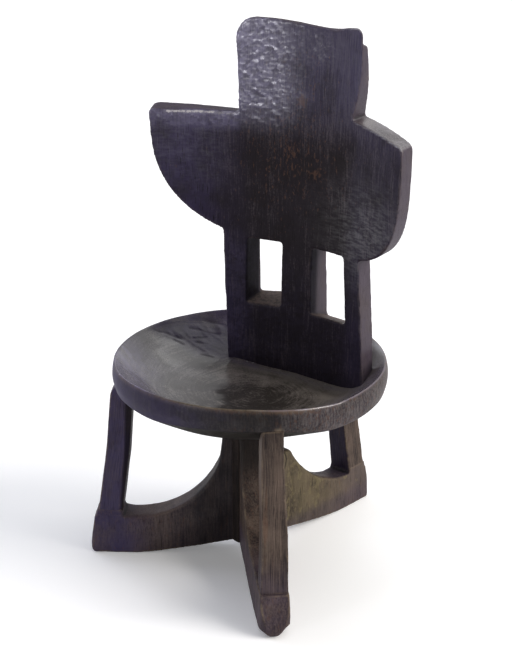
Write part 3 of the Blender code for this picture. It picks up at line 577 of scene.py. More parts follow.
def wood_material(
    name, look, fineness, roughness, relief_depth, gloss=0.30, patch=0.55, drawn_out=22.0,
    streaky=1.9, cloudy=1.3,
    speckled=1.4, fleck_length=2.2, end_grain=False, leaning=False,
):
    """Dark wood with upright grain, rubbed edges, flecks, burnished facets and blackened creases; where a
    piece's points ask for them it also gets painted shade, painted sheen, painted highlights, painted violet
    light and dust that is partly painted light.
    """
    material = bpy.data.materials.new(name)
    material.use_nodes = True
    tree = material.node_tree
    shader = tree.nodes["Principled BSDF"]
    shader.inputs["Specular IOR Level"].default_value = 0.06
    shader.inputs["Coat Roughness"].default_value = gloss
    shader.inputs["Coat IOR"].default_value = 1.9
    if leaning:
        vector = place(tree, "ShaderNodeAttribute", attribute_name="grain_place").outputs["Vector"]
    else:
        vector = place(tree, "ShaderNodeTexCoord").outputs["Object"]
    grain = grouped(tree, "upright_grain", {"Vector": vector, "Fineness": fineness, "Drawn Out": drawn_out})
    wear_inputs = {"Vector": vector, "Turn": mark(tree, "edge_turn"), "Rub And Highlight": mark(tree, "rub_and_highlight")}
    wear = grouped(tree, "worn_edge_and_highlight", wear_inputs)
    # Black for the pores, for grime in creases and for painted shade
    grime_and_shade_black = (*[part * 0.30 for part in look.dark], 1.0)

    clouds = noise(tree, vector, 18.0, 6.0, 0.66)
    fine = grain.outputs["Streak"]
    if end_grain:
        rings = grouped(tree, "end_grain", {"Vector": vector, "Pith": (*POST_AXIS, 0.0)})
        flat = mark(tree, "end_grain")
        ringed = sums(tree, "MULTIPLY", rings.outputs["Ring"], mark(tree, "ring_zone"))
        drawn = sums(tree, "ADD", rings.outputs["Scrape"], ringed)
        fine = place(tree, "ShaderNodeMix", {0: flat, 2: fine, 3: drawn}, data_type="FLOAT").outputs[0]
    streak = sums(tree, "MULTIPLY", sums(tree, "SUBTRACT", fine, 0.5), streaky)
    speckle = sums(tree, "SUBTRACT", noise(tree, vector, 330.0, 3.0, 0.7), 0.5)
    speckle = sums(tree, "MULTIPLY", speckle, speckled)
    band = sums(tree, "MULTIPLY", sums(tree, "SUBTRACT", grain.outputs["Band"], 0.5), 1.1)
    cloud = sums(tree, "MULTIPLY", sums(tree, "SUBTRACT", clouds, 0.5), cloudy)
    clouded = sums(tree, "ADD", cloud, sums(tree, "ADD", speckle, 0.16))
    tone = sums(tree, "ADD", sums(tree, "ADD", streak, band), clouded)
    # Paler tone; on faces turned to the lamps and in lit parts of the dish this is painted light
    tone = sums(tree, "ADD", tone, mark(tree, "pale"))
    wood = blend(tree, tone, (*look.dark, 1.0), (*look.light, 1.0))
    # Painted violet light: the cool tint of light and of shade, where a piece's points ask for it
    painted_violet_light = sums(tree, "MULTIPLY", mark(tree, "painted_violet_light"), climb(tree, clouds, 0.30, 0.60, 0.40, 1.0))
    wood = blend(tree, painted_violet_light, wood, VIOLET_LIGHT)
    specks = flecks(tree, vector, 260.0, fleck_length, mark(tree, "rust"))
    blots = flecks(tree, vector, 110.0, fleck_length * 0.7, sums(tree, "MULTIPLY", mark(tree, "rust"), 0.6))
    wood = blend(tree, sums(tree, "MULTIPLY", sums(tree, "MAXIMUM", specks, blots), 0.62), wood, RUST)
    # Earthy dust; at the far right of the dish, beside the board and on the rear runner's faces turned to the
    # warm lamp this colour is also painted light
    crusts = sums(
        tree, "MAXIMUM", flecks(tree, vector, 62.0, 1.6, mark(tree, "dust_and_painted_light")),
        flecks(tree, vector, 170.0, 1.4, sums(tree, "MULTIPLY", mark(tree, "dust_and_painted_light"), 0.8)),
    )
    films = sums(tree, "MULTIPLY", mark(tree, "dust_and_painted_light"), climb(tree, clouds, 0.28, 0.62, 0.10, 0.70))
    wood = blend(tree, sums(tree, "MAXIMUM", films, sums(tree, "MULTIPLY", crusts, 0.75)), wood, EARTH)
    wood = blend(tree, sums(tree, "MULTIPLY", grain.outputs["Pore"], 0.75), wood, grime_and_shade_black)
    # Rubbed edges; on the back board the rub mark also lays painted highlights in this colour
    wood = blend(tree, sums(tree, "MULTIPLY", wear.outputs["Rubbed"], 0.8), wood, (*look.rubbed, 1.0))
    wood = blend(tree, sums(tree, "MULTIPLY", wear.outputs["Crease"], 0.8), wood, grime_and_shade_black)
    # Painted shade where a piece's points ask for it, and darker gouge strokes
    dash = mark(tree, "dash")
    darker_share = sums(tree, "MAXIMUM", mark(tree, "darkening"), sums(tree, "MULTIPLY", dash, 0.22))
    wood = blend(tree, darker_share, wood, grime_and_shade_black)
    # Painted sheen: a pale violet veil standing in for light on polished parts, brighter on burnished facets
    sheen_paint = sums(tree, "MULTIPLY", mark(tree, "painted_sheen"), sums(tree, "ADD", 0.45, mark(tree, "facet")))
    wood = blend(tree, sheen_paint, wood, SHEEN_VIOLET)
    # Painted highlight: pale grey glints where a piece's points ask for them
    wood = blend(tree, flecks(tree, vector, 150.0, 1.0, mark(tree, "painted_highlight")), wood, HIGHLIGHT_GREY)
    tree.links.new(wood, shader.inputs["Base Color"])

    rough = sums(tree, "ADD", roughness, sums(tree, "MULTIPLY", streak, 0.10))
    tree.links.new(rough, shader.inputs["Roughness"])
    patchy = climb(
        tree, sums(tree, "ADD", fine, sums(tree, "MULTIPLY", cloud, 0.6)),
        0.22, 0.78, 1.0 - patch, 1.0 + 0.8 * patch,
    )
    dulled = sums(tree, "SUBTRACT", 1.0, sums(tree, "MULTIPLY", dash, 0.6))
    even = sums(tree, "MULTIPLY", sums(tree, "MULTIPLY", mark(tree, "sheen"), patchy), dulled)
    facet = sums(tree, "POWER", mark(tree, "facet"), 2.0)
    crest = climb(tree, mark(tree, "slope"), -0.10, 0.45, 0.35, 1.5)
    burnish = sums(tree, "MULTIPLY", sums(tree, "ADD", facet, 0.35), crest)
    struck = sums(tree, "MULTIPLY", mark(tree, "hammer"), burnish)
    ripples = noise(tree, stretched(tree, vector, (70.0, 70.0, 260.0)), 1.0, 3.0, 0.6)
    rippled = climb(tree, ripples, 0.36, 0.70)
    wash = sums(tree, "MULTIPLY", mark(tree, "ripple"), rippled)
    gleam = sums(tree, "ADD", even, sums(tree, "ADD", struck, wash))
    tree.links.new(place(tree, "ShaderNodeClamp", {"Value": gleam}).outputs[0], shader.inputs["Coat Weight"])

    height = sums(tree, "SUBTRACT", fine, sums(tree, "MULTIPLY", grain.outputs["Pore"], 0.6))
    bump = place(tree, "ShaderNodeBump", {"Height": height, "Strength": 0.8, "Distance": relief_depth})
    tree.links.new(bump.outputs[0], shader.inputs["Normal"])
    return material


def shared_trees():
    """Builds the shared node trees once."""
    if "tool_marks" not in bpy.data.node_groups:
        upright_grain_group()
        worn_edge_group()
        end_grain_group()
        fleck_group()
        turned_tree()
        tool_mark_tree()


def carve(mesh, name, material, mark_size, mark_depth, wobble_size, wobble_depth):
    """Runs the tool marks over a mesh and returns the finished object."""
    item = linked(name, mesh)
    run_tree(item, bpy.data.node_groups["tool_marks"], {
        "Mark Size": mark_size, "Mark Depth": mark_depth, "Wobble Size": wobble_size,
        "Wobble Depth": wobble_depth, "Material": material,
    })
    return linked(name, plain_mesh(item, name))


def keep(item, node):
    """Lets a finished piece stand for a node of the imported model."""
    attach(item, "root")
    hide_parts(node)


# Seat
# Strokes that a gouge has left at the back left of the dish, as chains of points from the post's axis
GOUGE_STROKES = (
    ((-0.205, 0.021), (-0.194, 0.038), (-0.176, 0.054)),
    ((-0.182, 0.041), (-0.168, 0.050)),
    ((-0.179, 0.080), (-0.167, 0.091), (-0.140, 0.110)),
    ((-0.166, 0.070), (-0.152, 0.091)),
    ((-0.160, 0.068), (-0.144, 0.082)),
    ((-0.140, 0.057), (-0.121, 0.066)),
    ((-0.169, 0.110), (-0.147, 0.126)),
)
# Line of the ledge that the strokes stand on, from the post's axis
LEDGE_ACROSS = (-0.206, -0.176, -0.140, -0.121, -0.040)
LEDGE_BACK = (0.018, 0.050, 0.055, 0.064, 0.080)
# Direction across the photo's view, along which the dark patch in the dish is laid out
# The dark patch is a painted reflection of the back board
VIEW_ACROSS = (0.836, 0.549)
# Rise of the rim's lip and of its wall's foot around the front, by turn from straight ahead in degrees
LIP_TURNS = (-75.0, -40.0, -17.0, 1.0, 22.0, 34.0, 46.0, 57.0, 70.0, 95.0)
LIP_RISE = (0.0, 0.0030, 0.0064, 0.0066, 0.0062, 0.0058, 0.0028, 0.0, -0.0032, 0.0)
FOOT_TURNS = (-60.0, -30.0, -12.0, 1.0, 13.0, 34.0, 50.0, 66.0, 95.0)
FOOT_RISE = (0.0, -0.0018, -0.0024, 0.0014, 0.0052, 0.0058, 0.0026, -0.0028, 0.0)


# Rise of the dish along the board's foot, by width from the board's middle
BED_PLACES = (-0.125, -0.105, -0.060, 0.0, 0.050, 0.090, 0.110, 0.140)
BED_RISE = (0.0, 0.0040, 0.0015, 0.0, -0.0045, -0.0095, -0.0105, -0.0060)


def bed_rise(places):
    """How far the dish is carved up or down along the board's foot."""
    across, _, depth = board_view(places)
    reach = np.hypot(places[:, 0] - SEAT_MIDDLE[0], places[:, 1] - SEAT_MIDDLE[1])
    near = smooth_step(depth, -0.075, -0.010) * smooth_step(depth, 0.090, 0.050)
    return np.interp(across, BED_PLACES, BED_RISE) * near * smooth_step(reach, 0.204, 0.186)


def gouge_strokes(x, y, width):
    """1 along the gouge strokes in the dish, fading out over their width."""
    nearest = np.full(len(x), 1.0)
    for stroke in GOUGE_STROKES:
        for (x0, y0), (x1, y1) in zip(stroke, stroke[1:]):
            run, rise = x1 - x0, y1 - y0
            part = np.clip(((x - x0) * run + (y - y0) * rise) / (run * run + rise * rise), 0.0, 1.0)
            nearest = np.minimum(nearest, np.hypot(x - x0 - part * run, y - y0 - part * rise))
    return np.exp(-((nearest / width) ** 2))


def seat_section(look):
    """Half section of the seat from the middle of its dish round to the middle of its belly."""
    top, belly = SEAT_HIGH[2], SEAT_LOW[2]
    inner = look.rim_radius - look.rim_round
    low = top - look.wall_height
    chain = []
    for r in np.linspace(0.0, inner, 132):
        chain.append((r, top - look.dish_depth * (1.0 - (r / inner) ** look.dish_power)))
    tilt = math.atan(math.pi * look.wall_swell / look.wall_height)
    for turn in np.linspace(math.pi / 2.0, tilt, 11)[1:]:
        rounded = top - look.rim_round + look.rim_round * math.sin(turn)
        chain.append((inner + look.rim_round * math.cos(turn), rounded))
    wall_radius, wall_top = chain[-1]
    for part in np.linspace(0.0, 1.0, 21)[1:]:
        straight = wall_radius + (look.wall_foot_radius - wall_radius) * part
        swollen = straight + look.wall_swell * math.sin(math.pi * part)
        chain.append((swollen, wall_top + (low - wall_top) * part))
    for r in np.linspace(look.wall_foot_radius, 0.0, 34)[1:]:
        chain.append((r, belly + (low - belly) * (r / look.wall_foot_radius) ** look.belly_power))
    return chain


def turned_seat(look, material):
    """Mesh of the seat, turned from its half section."""
    chain = seat_section(look)
    section = bpy.data.meshes.new("seat_section")
    section.from_pydata([(r, 0.0, z) for r, z in chain], [(i, i + 1) for i in range(len(chain) - 1)], [])
    item = linked("seat_turned", section)
    run_tree(item, bpy.data.node_groups["turned_bowl"], {
        "Chain Points": len(chain), "Segments": look.segments, "Oval": look.oval,
        "Turn": look.oval_turn, "Middle": (*SEAT_MIDDLE, 0.0), "Material": material,
    })
    mesh = plain_mesh(item, "seat")
    mesh.materials.clear()
    return mesh


class CHAIR_OT_seat(bpy.types.Operator):
    """Turns, carves and polishes the dished seat"""

    bl_idname = "chair.seat"
    bl_label = "Seat"

    def execute(self, context):
        look = context.scene.chair_seat
        shared_trees()
        material = wood_material(
            "seat_wood", look, fineness=460.0, roughness=0.55, relief_depth=0.00016, gloss=0.25, patch=0.16,
            streaky=1.7, end_grain=True,
        )
        mesh = turned_seat(look, material)
        places = points_of(mesh)
        top = SEAT_HIGH[2]
        x, y = places[:, 0] - POST_AXIS[0], places[:, 1] - POST_AXIS[1]
        aside, ahead = places[:, 0] - SEAT_MIDDLE[0], SEAT_MIDDLE[1] - places[:, 1]
        radius = np.hypot(aside, ahead)
        turn = np.degrees(np.arctan2(aside, ahead))
        short = np.array((math.cos(look.oval_turn), math.sin(look.oval_turn)))
        flat = places[:, :2] - np.array(SEAT_MIDDLE)
        reach = np.hypot(flat @ short / look.oval, flat @ np.array((-short[1], short[0])))
        inside = smooth_step(reach, look.rim_radius + 0.0004, look.rim_radius - 0.0006)
        upper = smooth_step(normals_of(mesh)[:, 2], 0.15, 0.45) * inside
        outside = smooth_step(reach, look.rim_radius - 0.0040, look.rim_radius - 0.0022)

        behind = y - np.interp(x, LEDGE_ACROSS, LEDGE_BACK)
        rough_part = smooth_step(x, -0.035, -0.080)
        ledge = smooth_step(behind, -0.008, 0.022) * rough_part * smooth_step(radius, 0.203, 0.180)
        gouged = gouge_strokes(x, y, 0.0014) * upper
        raised = look.ledge_height * ledge * upper - look.gouge_depth * gouged
        places[:, 2] += raised + bed_rise(places) * upper
        front = smooth_step(np.abs(turn - 5.0), 75.0, 30.0)
        lower = smooth_step(places[:, 2], top - 0.014, top - 0.036) * smooth_step(radius, 0.150, 0.205)
        places[:, 2] += look.wall_thin * front * lower
        rise = smooth_step(places[:, 2], top - 0.045, top) * (1.0 - upper) + upper
        lip_rise = np.interp(turn, LIP_TURNS, LIP_RISE)
        uneven = rise * lip_rise + (1.0 - rise) * np.interp(turn, FOOT_TURNS, FOOT_RISE)
        places[:, 2] += uneven * smooth_step(reach, 0.150, 0.208)
        height = places[:, 2] - top - lip_rise
        move_points(mesh, places)

        left = smooth_step(x + 0.25 * y, 0.06, -0.20)
        rough = smooth_step(behind, -0.018, 0.016) * smooth_step(x, -0.030, -0.060)
        lip = np.exp(-(((height + 0.0010) / 0.0013) ** 2)) * outside
        handled = smooth_step(turn, -62.0, -30.0) * smooth_step(turn, 66.0, 46.0)
        worn = 0.22 * handled + 0.16
        strip = smooth_step(height, -0.0085, -0.0015) * handled * outside
        chip = spot(0.212 * np.radians(turn - 44.3), places[:, 2], (0.0, top - 0.029), 0.0060) * outside
        lines = smooth_step(np.abs(turn - 29.0), 14.0, 8.0) * outside * (1.0 - upper)
        # Painted glints along the lip at the front right
        glints = smooth_step(np.abs(turn - 62.0), 13.0, 8.0) * lip
        scooped = smooth_step(behind, -0.004, 0.010) * rough_part * smooth_step(radius, 0.200, 0.186)
        far_right = smooth_step(x, 0.105, 0.165)
        across, _, depth = board_view(places)
        foot_ends = smooth_step(np.abs(across), 0.108, 0.102)
        # At the board's foot a pale line of rubbed wood and painted highlight, before it a band of painted
        # sheen, and further out a groove of painted shade
        foot_line = np.exp(-((depth + 0.003) / 0.004) ** 2) * foot_ends * upper
        beside_foot = smooth_step(np.abs(across), 0.108, 0.100) * upper
        foot_band = np.exp(-((depth + 0.009) / 0.006) ** 2) * beside_foot
        foot_groove = np.exp(-((depth + 0.025) / 0.007) ** 2) * beside_foot
        # Beside the back board, where it shades the dish, the dish is painted lighter
        near_board = smooth_step(depth, -0.10, -0.01) * smooth_step(np.abs(across), 0.14, 0.09)
        store(mesh, "edge_turn", np.minimum(edges_and_creases(mesh), 60.0))
        store(mesh, "rub_and_highlight", np.clip(lip * worn + chip + 0.12 * strip + 0.15 * foot_line, 0.0, 1.0))
        store(mesh, "end_grain", upper)
        store(mesh, "ring_zone", 0.03 + 0.12 * spot(x, y, (0.05, -0.05), 0.085))
        store(mesh, "tool_zone", upper * (scooped + 0.04))
        # Painted reflection: a dark patch in the middle of the dish stands for the back board mirrored there,
        # with a ragged left edge
        nearness = VIEW_ACROSS[0] * y - VIEW_ACROSS[1] * x
        ragged = 0.006 * np.sin(75.0 * nearness + 0.5) + 0.004 * np.sin(210.0 * nearness)
        ragged = ragged + 0.002 * np.sin(520.0 * nearness)
        crosswise = VIEW_ACROSS[0] * x + VIEW_ACROSS[1] * y + ragged
        painted_board_reflection = smooth_step(crosswise, -0.062, -0.042) * smooth_step(crosswise, 0.075, 0.012)
        painted_board_reflection = painted_board_reflection * smooth_step(nearness, 0.048, 0.012)
        # Painted sheen on the bright left side of the dish
        bright_side = smooth_step(turn, 8.0, -14.0) * smooth_step(turn, -95.0, -60.0)
        bright_side = bright_side * smooth_step(radius, 0.12, 0.195)
        before_ledge = smooth_step(behind, -0.060, -0.022) * smooth_step(x, -0.03, -0.07)
        before_ledge = before_ledge * smooth_step(radius, 0.192, 0.165)
        polish = np.clip(0.20 + 0.80 * left ** 1.4 + far_right, 0.08, 1.0)
        sheen = upper * polish * (1.0 - 0.93 * painted_board_reflection)
        sheen = sheen * (1.0 - 0.74 * rough) * (1.0 - 0.42 * before_ledge * (1.0 - rough))
        store(mesh, "sheen", np.maximum(sheen * (1.0 - lip), 0.05 * outside) + 0.6 * glints)
        # The rim's wall and the belly under the seat take painted shade; the walls at the left and right,
        # turned to the lamps, take less
        wall = (1.0 - upper) * outside
        belly = (1.0 - upper) * (1.0 - outside)
        left_wall = wall * smooth_step(x, -0.06, -0.16)
        right_wall = wall * smooth_step(x, 0.115, 0.19)
        front_left = wall * smooth_step(turn, 24.0, -6.0) * smooth_step(turn, -120.0, -60.0)
        # Painted highlight on the lip at the left
        shine_left = smooth_step(np.abs(turn + 38.0), 10.0, 3.0) * lip
        store(mesh, "dash", gouged)
        # Painted sheen: the bright left side, the far right, the cool-lit front of the wall and the band before
        # the board's foot
        cool_wall = wall * smooth_step(turn, 36.0, 6.0) * smooth_step(turn, -120.0, -60.0)
        painted_sheen = (0.42 * bright_side + 0.28 * far_right) * upper + 0.10 * cool_wall + 0.14 * foot_band
        store(mesh, "painted_sheen", painted_sheen)
        # Painted highlights on the lip and along the board's foot
        store(mesh, "painted_highlight", np.clip(0.42 * glints + 0.6 * shine_left + 0.40 * foot_line, 0.0, 1.0))
        # Dust on the chip and the worn strip; at the far right of the dish and beside the board it is painted
        # light
        dish_dust_and_light = 0.22 * far_right + 0.10 * near_board + 0.10 * smooth_step(x, 0.05, 0.12)
        store(mesh, "dust_and_painted_light", np.clip(0.9 * chip + 0.35 * strip + upper * dish_dust_and_light, 0.0, 1.0))
        # Painted violet light on the left and rough parts of the dish, its far right, the walls and the front
        # left
        painted_violet_light = upper * (0.25 * left + 0.55 * rough + 0.25 * far_right) + 0.25 * wall + 0.7 * front_left
        store(mesh, "painted_violet_light", painted_violet_light)
        # Painted shade on the wall, the belly, the board's dark reflection and the groove; less on the
        # striations, the worn strip, the chip and the lamp-lit walls
        darkening = wall * 0.92 - 0.10 * lines - 0.50 * front_left - 0.30 * left_wall - 0.80 * right_wall
        darkening = darkening - 0.4 * strip - 0.9 * chip - 0.12 * wall * smooth_step(height, -0.012, -0.038)
        darkening = darkening + 0.75 * belly + 0.30 * painted_board_reflection * upper + 0.30 * foot_groove
        store(mesh, "darkening", np.clip(darkening, 0.0, 1.0))
        # Painted light: the dish paler at the right and beside the board, the side walls paler where lamps
        # light them; darker in the painted reflection
        dull = 0.40 * smooth_step(x, 0.03, 0.11) + 0.90 * far_right + 0.75 * near_board - 0.10 - 0.14 * painted_board_reflection
        store(mesh, "pale", upper * dull + 0.10 * lines + 0.15 * left_wall + 0.22 * right_wall)
        rusty_wall = wall * (0.16 + 0.39 * smooth_step(x, 0.0, 0.1))
        store(mesh, "rust", upper * far_right * 0.62 + rusty_wall + 0.50 * strip)
        seat = carve(
            mesh, "carved_seat", material, mark_size=(0.026, 0.0085, 0.020), mark_depth=0.0009,
            wobble_size=0.05, wobble_depth=0.0012,
        )
        keep(seat, "seat")
        return {"FINISHED"}


# Back board
def board_view(places):
    """Each point's width from the board's middle, height above the rim and depth behind the face."""
    u = places[:, 0] - POST_AXIS[0] - FACE_SHIFT
    v = places[:, 2] - SEAT_HIGH[2]
    bend = FACE_BEND - np.sqrt(FACE_BEND ** 2 - np.clip(u, -0.3, 0.3) ** 2)
    return u, v, places[:, 1] - (POST_AXIS[1] + FACE_OFFSET + FACE_LEAN * v - bend)


def shape_board(mesh, look):
    """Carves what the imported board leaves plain: left tip, wing tops, sills and the head's right corner."""
    places = points_of(mesh)
    u, v, depth = board_view(places)
    behind = np.clip(depth / 0.04, 0.0, 1.3)
    places[:, 0] -= look.tip_square * np.clip(depth, 0.0, None) * smooth_step(u, -0.150, -0.215)
    wing_top = smooth_step(v, 0.300, 0.345) * smooth_step(u, -0.098, -0.112)
    places[:, 2] += behind * wing_top * np.interp(u, (-0.225, -0.110), (0.0045, -0.0055))
    sill = smooth_step(v, -0.005, 0.040) * smooth_step(v, 0.085, 0.052)
    right = smooth_step(u, 0.016, 0.024) * smooth_step(u, 0.102, 0.090)
    left = smooth_step(u, -0.098, -0.088) * smooth_step(u, -0.024, -0.032)
    places[:, 2] += behind * sill * (left * look.sill_rise - right * look.sill_drop)
    tip = spot(u, v, (-0.2225, 0.3445), 0.012)
    places[:, 0] -= 0.0035 * tip
    places[:, 2] += 0.0010 * tip
    places[:, 2] += (np.minimum(bed_rise(places), 0.0) - 0.001) * smooth_step(v, 0.030, -0.004)
    corner = smooth_step(v, 0.464, 0.468) * smooth_step(u, 0.080, 0.100)
    places[:, 0] -= corner * np.clip(depth, 0.0, 0.02) * 0.55
    move_points(mesh, places)


def wing_edge_of(u, v, depth):
    """1 along the front top edge of the left wing, where hands have eased it."""
    along = smooth_step(u, -0.095, -0.110) * smooth_step(u, -0.214, -0.200)
    return smooth_step(v, 0.312, 0.326) * along * smooth_step(depth, 0.012, 0.006)


class CHAIR_OT_back_board(bpy.types.Operator):
    """Carves the back board with its windows, half-moon and head"""

    bl_idname = "chair.back_board"
    bl_label = "Back Board"

    def execute(self, context):
        look = context.scene.chair_board
        shared_trees()
        mesh = carving_blank("back_board", look.grid)
        shape_board(mesh, look)
        u, v, depth = board_view(points_of(mesh))
        relax(mesh, wing_edge_of(u, v, depth), 14)
        u, v, depth = board_view(points_of(mesh))
        facing = normals_of(mesh)
        front = smooth_step(-facing[:, 1], 0.3, 0.7)
        rightward = smooth_step(facing[:, 0], 0.4, 0.8)
        head = smooth_step(v, 0.300, 0.400)
        head_left = smooth_step(v, 0.310, 0.375) * smooth_step(u, 0.024, -0.070)
        wing = smooth_step(v, 0.17, 0.31) * smooth_step(u, -0.09, -0.16)
        wing_edge = wing_edge_of(u, v, depth)
        low_right = spot(u, v, (0.130, 0.190), 0.070)
        dents = spot(u, v, (0.028, 0.455), 0.022)
        flaked = spot(u, v, (-0.018, 0.291), 0.009) + spot(u, v, (0.0, 0.374), 0.010)
        flaked = flaked + spot(u, v, (0.029, 0.266), 0.009)
        chip = spot(v, depth, (0.420, 0.030), 0.010) * rightward
        root = spot(u, v, (0.108, 0.345), 0.014) * smooth_step(depth, -0.002, 0.008)
        upward = smooth_step(facing[:, 2], 0.5, 0.8)
        shiny_edge = wing_edge * smooth_step(facing[:, 2], 0.06, 0.30) * (1.0 - upward)
        sills = upward * smooth_step(v, 0.10, 0.085) * smooth_step(np.abs(u), 0.110, 0.100)
        outer = smooth_step(u, 0.076, 0.112)
        in_window = rightward * smooth_step(v, 0.030, 0.050) * smooth_step(v, 0.200, 0.180)
        left_jamb = in_window * smooth_step(u, -0.045, -0.060) * smooth_step(u, -0.108, -0.098)
        right_jamb = in_window * smooth_step(u, 0.000, 0.012) * smooth_step(u, 0.062, 0.048)
        # Painted shade inside the window jambs
        jamb_shade = left_jamb * smooth_step(depth, 0.040, 0.034)
        jamb_shade = jamb_shade + right_jamb * smooth_step(depth, 0.026, 0.012)
        low_left = smooth_step(u, -0.066, -0.100) * smooth_step(v, 0.18, 0.12)
        store(mesh, "edge_turn", np.minimum(edges_and_creases(mesh), 150.0))
        # The chip is worn wood; the wing edge, the wing's root and the sill tops get painted highlights
        store(mesh, "rub_and_highlight", np.clip(0.35 * shiny_edge + chip + 0.7 * root + 0.8 * sills, 0.0, 1.0))
        tooled = head_left + dents + 0.6 * wing + 0.4 * low_right + 0.15
        store(mesh, "tool_zone", front * np.clip(tooled, 0.0, 1.0))
        store(mesh, "hammer", front * np.clip(0.75 * head_left + 0.4 * dents + 0.25 * wing * head, 0.0, 1.0))
        store(mesh, "ripple", front * (0.40 * low_right + 0.15 * wing))
        sheen = 0.02 + 0.17 * head + 0.27 * head_left + 0.06 * wing + 0.06 * low_right + 0.05 * outer
        sheen = front * sheen + (rightward - jamb_shade) * 0.12
        store(mesh, "sheen", sheen + 0.9 * shiny_edge + 0.9 * upward * outer)
        # Painted sheen on the head's left, the head, the low left, low in the middle, the wing edge and the
        # jambs
        far_left = smooth_step(v, 0.310, 0.375) * smooth_step(u, 0.010, -0.075)
        painted_sheen = 0.50 * far_left + 0.05 * head + 0.10 * low_left + 0.045 * smooth_step(v, 0.17, 0.05)
        store(mesh, "painted_sheen", front * painted_sheen + 0.25 * wing_edge + 0.06 * jamb_shade)
        # Painted highlight along the wing's front top edge
        edge_highlight = 0.85 * shiny_edge * smooth_step(u, -0.12, -0.17) + 0.4 * shiny_edge
        store(mesh, "painted_highlight", np.clip(edge_highlight, 0.0, 1.0))
        # Painted violet light on the head, the left, the outer right, the low left and the faces turned to the
        # right
        painted_violet_light = 0.10 + 0.65 * head + 0.75 * smooth_step(u, -0.07, -0.19) + 0.25 * outer + 0.15 * low_left
        painted_violet_light = np.clip(painted_violet_light, 0.0, 1.0) * (0.5 + 0.5 * front)
        store(mesh, "painted_violet_light", np.maximum(painted_violet_light, 0.40 * rightward))
        # Faces turned to the right and upward faces are paler: painted light; the face below the head is darker
        pale = (1.0 - front) * (0.20 + 0.85 * rightward + 0.40 * upward) + 0.10 * head_left + 0.15 * low_left
        store(mesh, "pale", pale - 0.23 * front * smooth_step(v, 0.34, 0.28))
        rust = 0.38 * spot(u, v, (-0.01, 0.28), 0.12) + 0.45 * flaked + 0.22 * spot(u, v, (0.0, 0.42), 0.06)
        rust = rust + 0.16 * smooth_step(v, 0.05, 0.17)
        store(mesh, "rust", front * np.clip(rust, 0.0, 1.0))
        # The face darker low in the middle, and painted shade in the jambs
        darker_share = front * 0.18 * smooth_step(v, 0.20, 0.06) * smooth_step(np.abs(u), 0.105, 0.075)
        store(mesh, "darkening", np.clip(darker_share + 0.88 * jamb_shade, 0.0, 1.0))
        material = wood_material(
            "board_wood", look, fineness=520.0, roughness=0.6, relief_depth=0.0005, gloss=0.31
        )
        board = carve(
            mesh, "carved_back_board", material, mark_size=(0.0078, 0.0078, 0.0050), mark_depth=0.0016,
            wobble_size=0.07, wobble_depth=0.0014,
        )
        keep(board, "back_board")
        return {"FINISHED"}


# Legs
def leg_view(leg, places):
    """Each point's distance out along a leg and to the leg's left, from the post's axis."""
    turn = math.radians(LEG_TURNS[leg])
    out = np.array((math.sin(turn), -math.cos(turn)))
    flat = places[:, :2] - np.array(POST_AXIS)
    return flat @ out, flat @ np.array((-out[1], out[0]))


class CHAIR_OT_centre_post(bpy.types.Operator):
    """Carves the post under the seat"""

    bl_idname = "chair.centre_post"
    bl_label = "Centre Post"

    def execute(self, context):
        look = context.scene.chair_legs
        shared_trees()
        mesh = carving_blank("centre_post", look.grid)
        size = len(mesh.vertices)
        store(mesh, "edge_turn", edges_and_creases(mesh))
        store(mesh, "tool_zone", np.full(size, 0.6))
        # Painted shade: the post under the seat is darkened all over
        store(mesh, "darkening", np.full(size, 0.8))
        material = wood_material("post_wood", look, 380.0, 0.6, 0.0007)
        post = carve(mesh, "carved_centre_post", material, (0.014, 0.014, 0.030), 0.0016, 0.04, 0.0015)
        keep(post, "centre_post")
        return {"FINISHED"}


def strut_section(leg):
    """Ends of a strut's foot out along its leg and across it."""
    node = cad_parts[leg + "_strut"]
    places = points_of(node.data)
    foot = places[(places[:, 2] > FOOT_TOP - 0.005) & (places[:, 2] < FOOT_TOP + 0.02)]
    out, aside = leg_view(leg, foot)
    return out.min(), out.max(), aside.min(), aside.max()


def shape_runner(mesh, leg):
    """Rounds a runner's curve, raises its bracket to the seat, wears its toe and swells it to the strut."""
    places = points_of(mesh)
    out, aside = leg_view(leg, places)
    facing_up = smooth_step(normals_of(mesh)[:, 2], -0.2, 0.3)
    curve = smooth_step(out, 0.205, 0.185) * smooth_step(places[:, 2], 0.045, 0.055) * facing_up
    if leg != "front_right":
        relax(mesh, curve, 45)
        places = points_of(mesh)
    if leg != "rear":
        places[:, 2] += 0.045 * smooth_step(places[:, 2], 0.150, 0.192)
    low = smooth_step(places[:, 2], 0.060, 0.0)
    tip = smooth_step(out, 0.222, 0.272)
    lift = 0.018 * smooth_step(aside, 0.0, 0.021) + 0.009 * smooth_step(aside, -0.008, -0.021)
    near, far, right, left = strut_section(leg)
    if leg == "front_right":
        places[:, 2] += lift * low * tip
        turn = math.radians(LEG_TURNS[leg])
        proud = np.clip(aside - left - 0.0004, 0.0, None) * smooth_step(out, near - 0.02, near)
        places[:, :2] -= np.array((math.cos(turn), math.sin(turn))) * (0.9 * proud)[:, None]
    else:
        past = np.maximum(np.maximum(near - out, out - far), 0.0)
        beside = np.maximum(np.maximum(right - aside, aside - left), 0.0)
        swelling = 0.010 * np.exp(-beside / 0.004 - past / 0.001)
        places[:, 2] += swelling * smooth_step(places[:, 2], 0.030, FOOT_TOP)
    move_points(mesh, places)


# Line of the crack at the top of the rear runner, by height and by distance from the post's axis
CRACK_HEIGHTS = (0.126, 0.140, 0.158)
CRACK_PLACES = (0.050, 0.054, 0.048)


def looks_ahead(facing):
    """1 on faces that look ahead and to the right, 0 on those that look away."""
    return smooth_step(0.55 * facing[:, 0] - 0.83 * facing[:, 1], 0.2, 0.7)


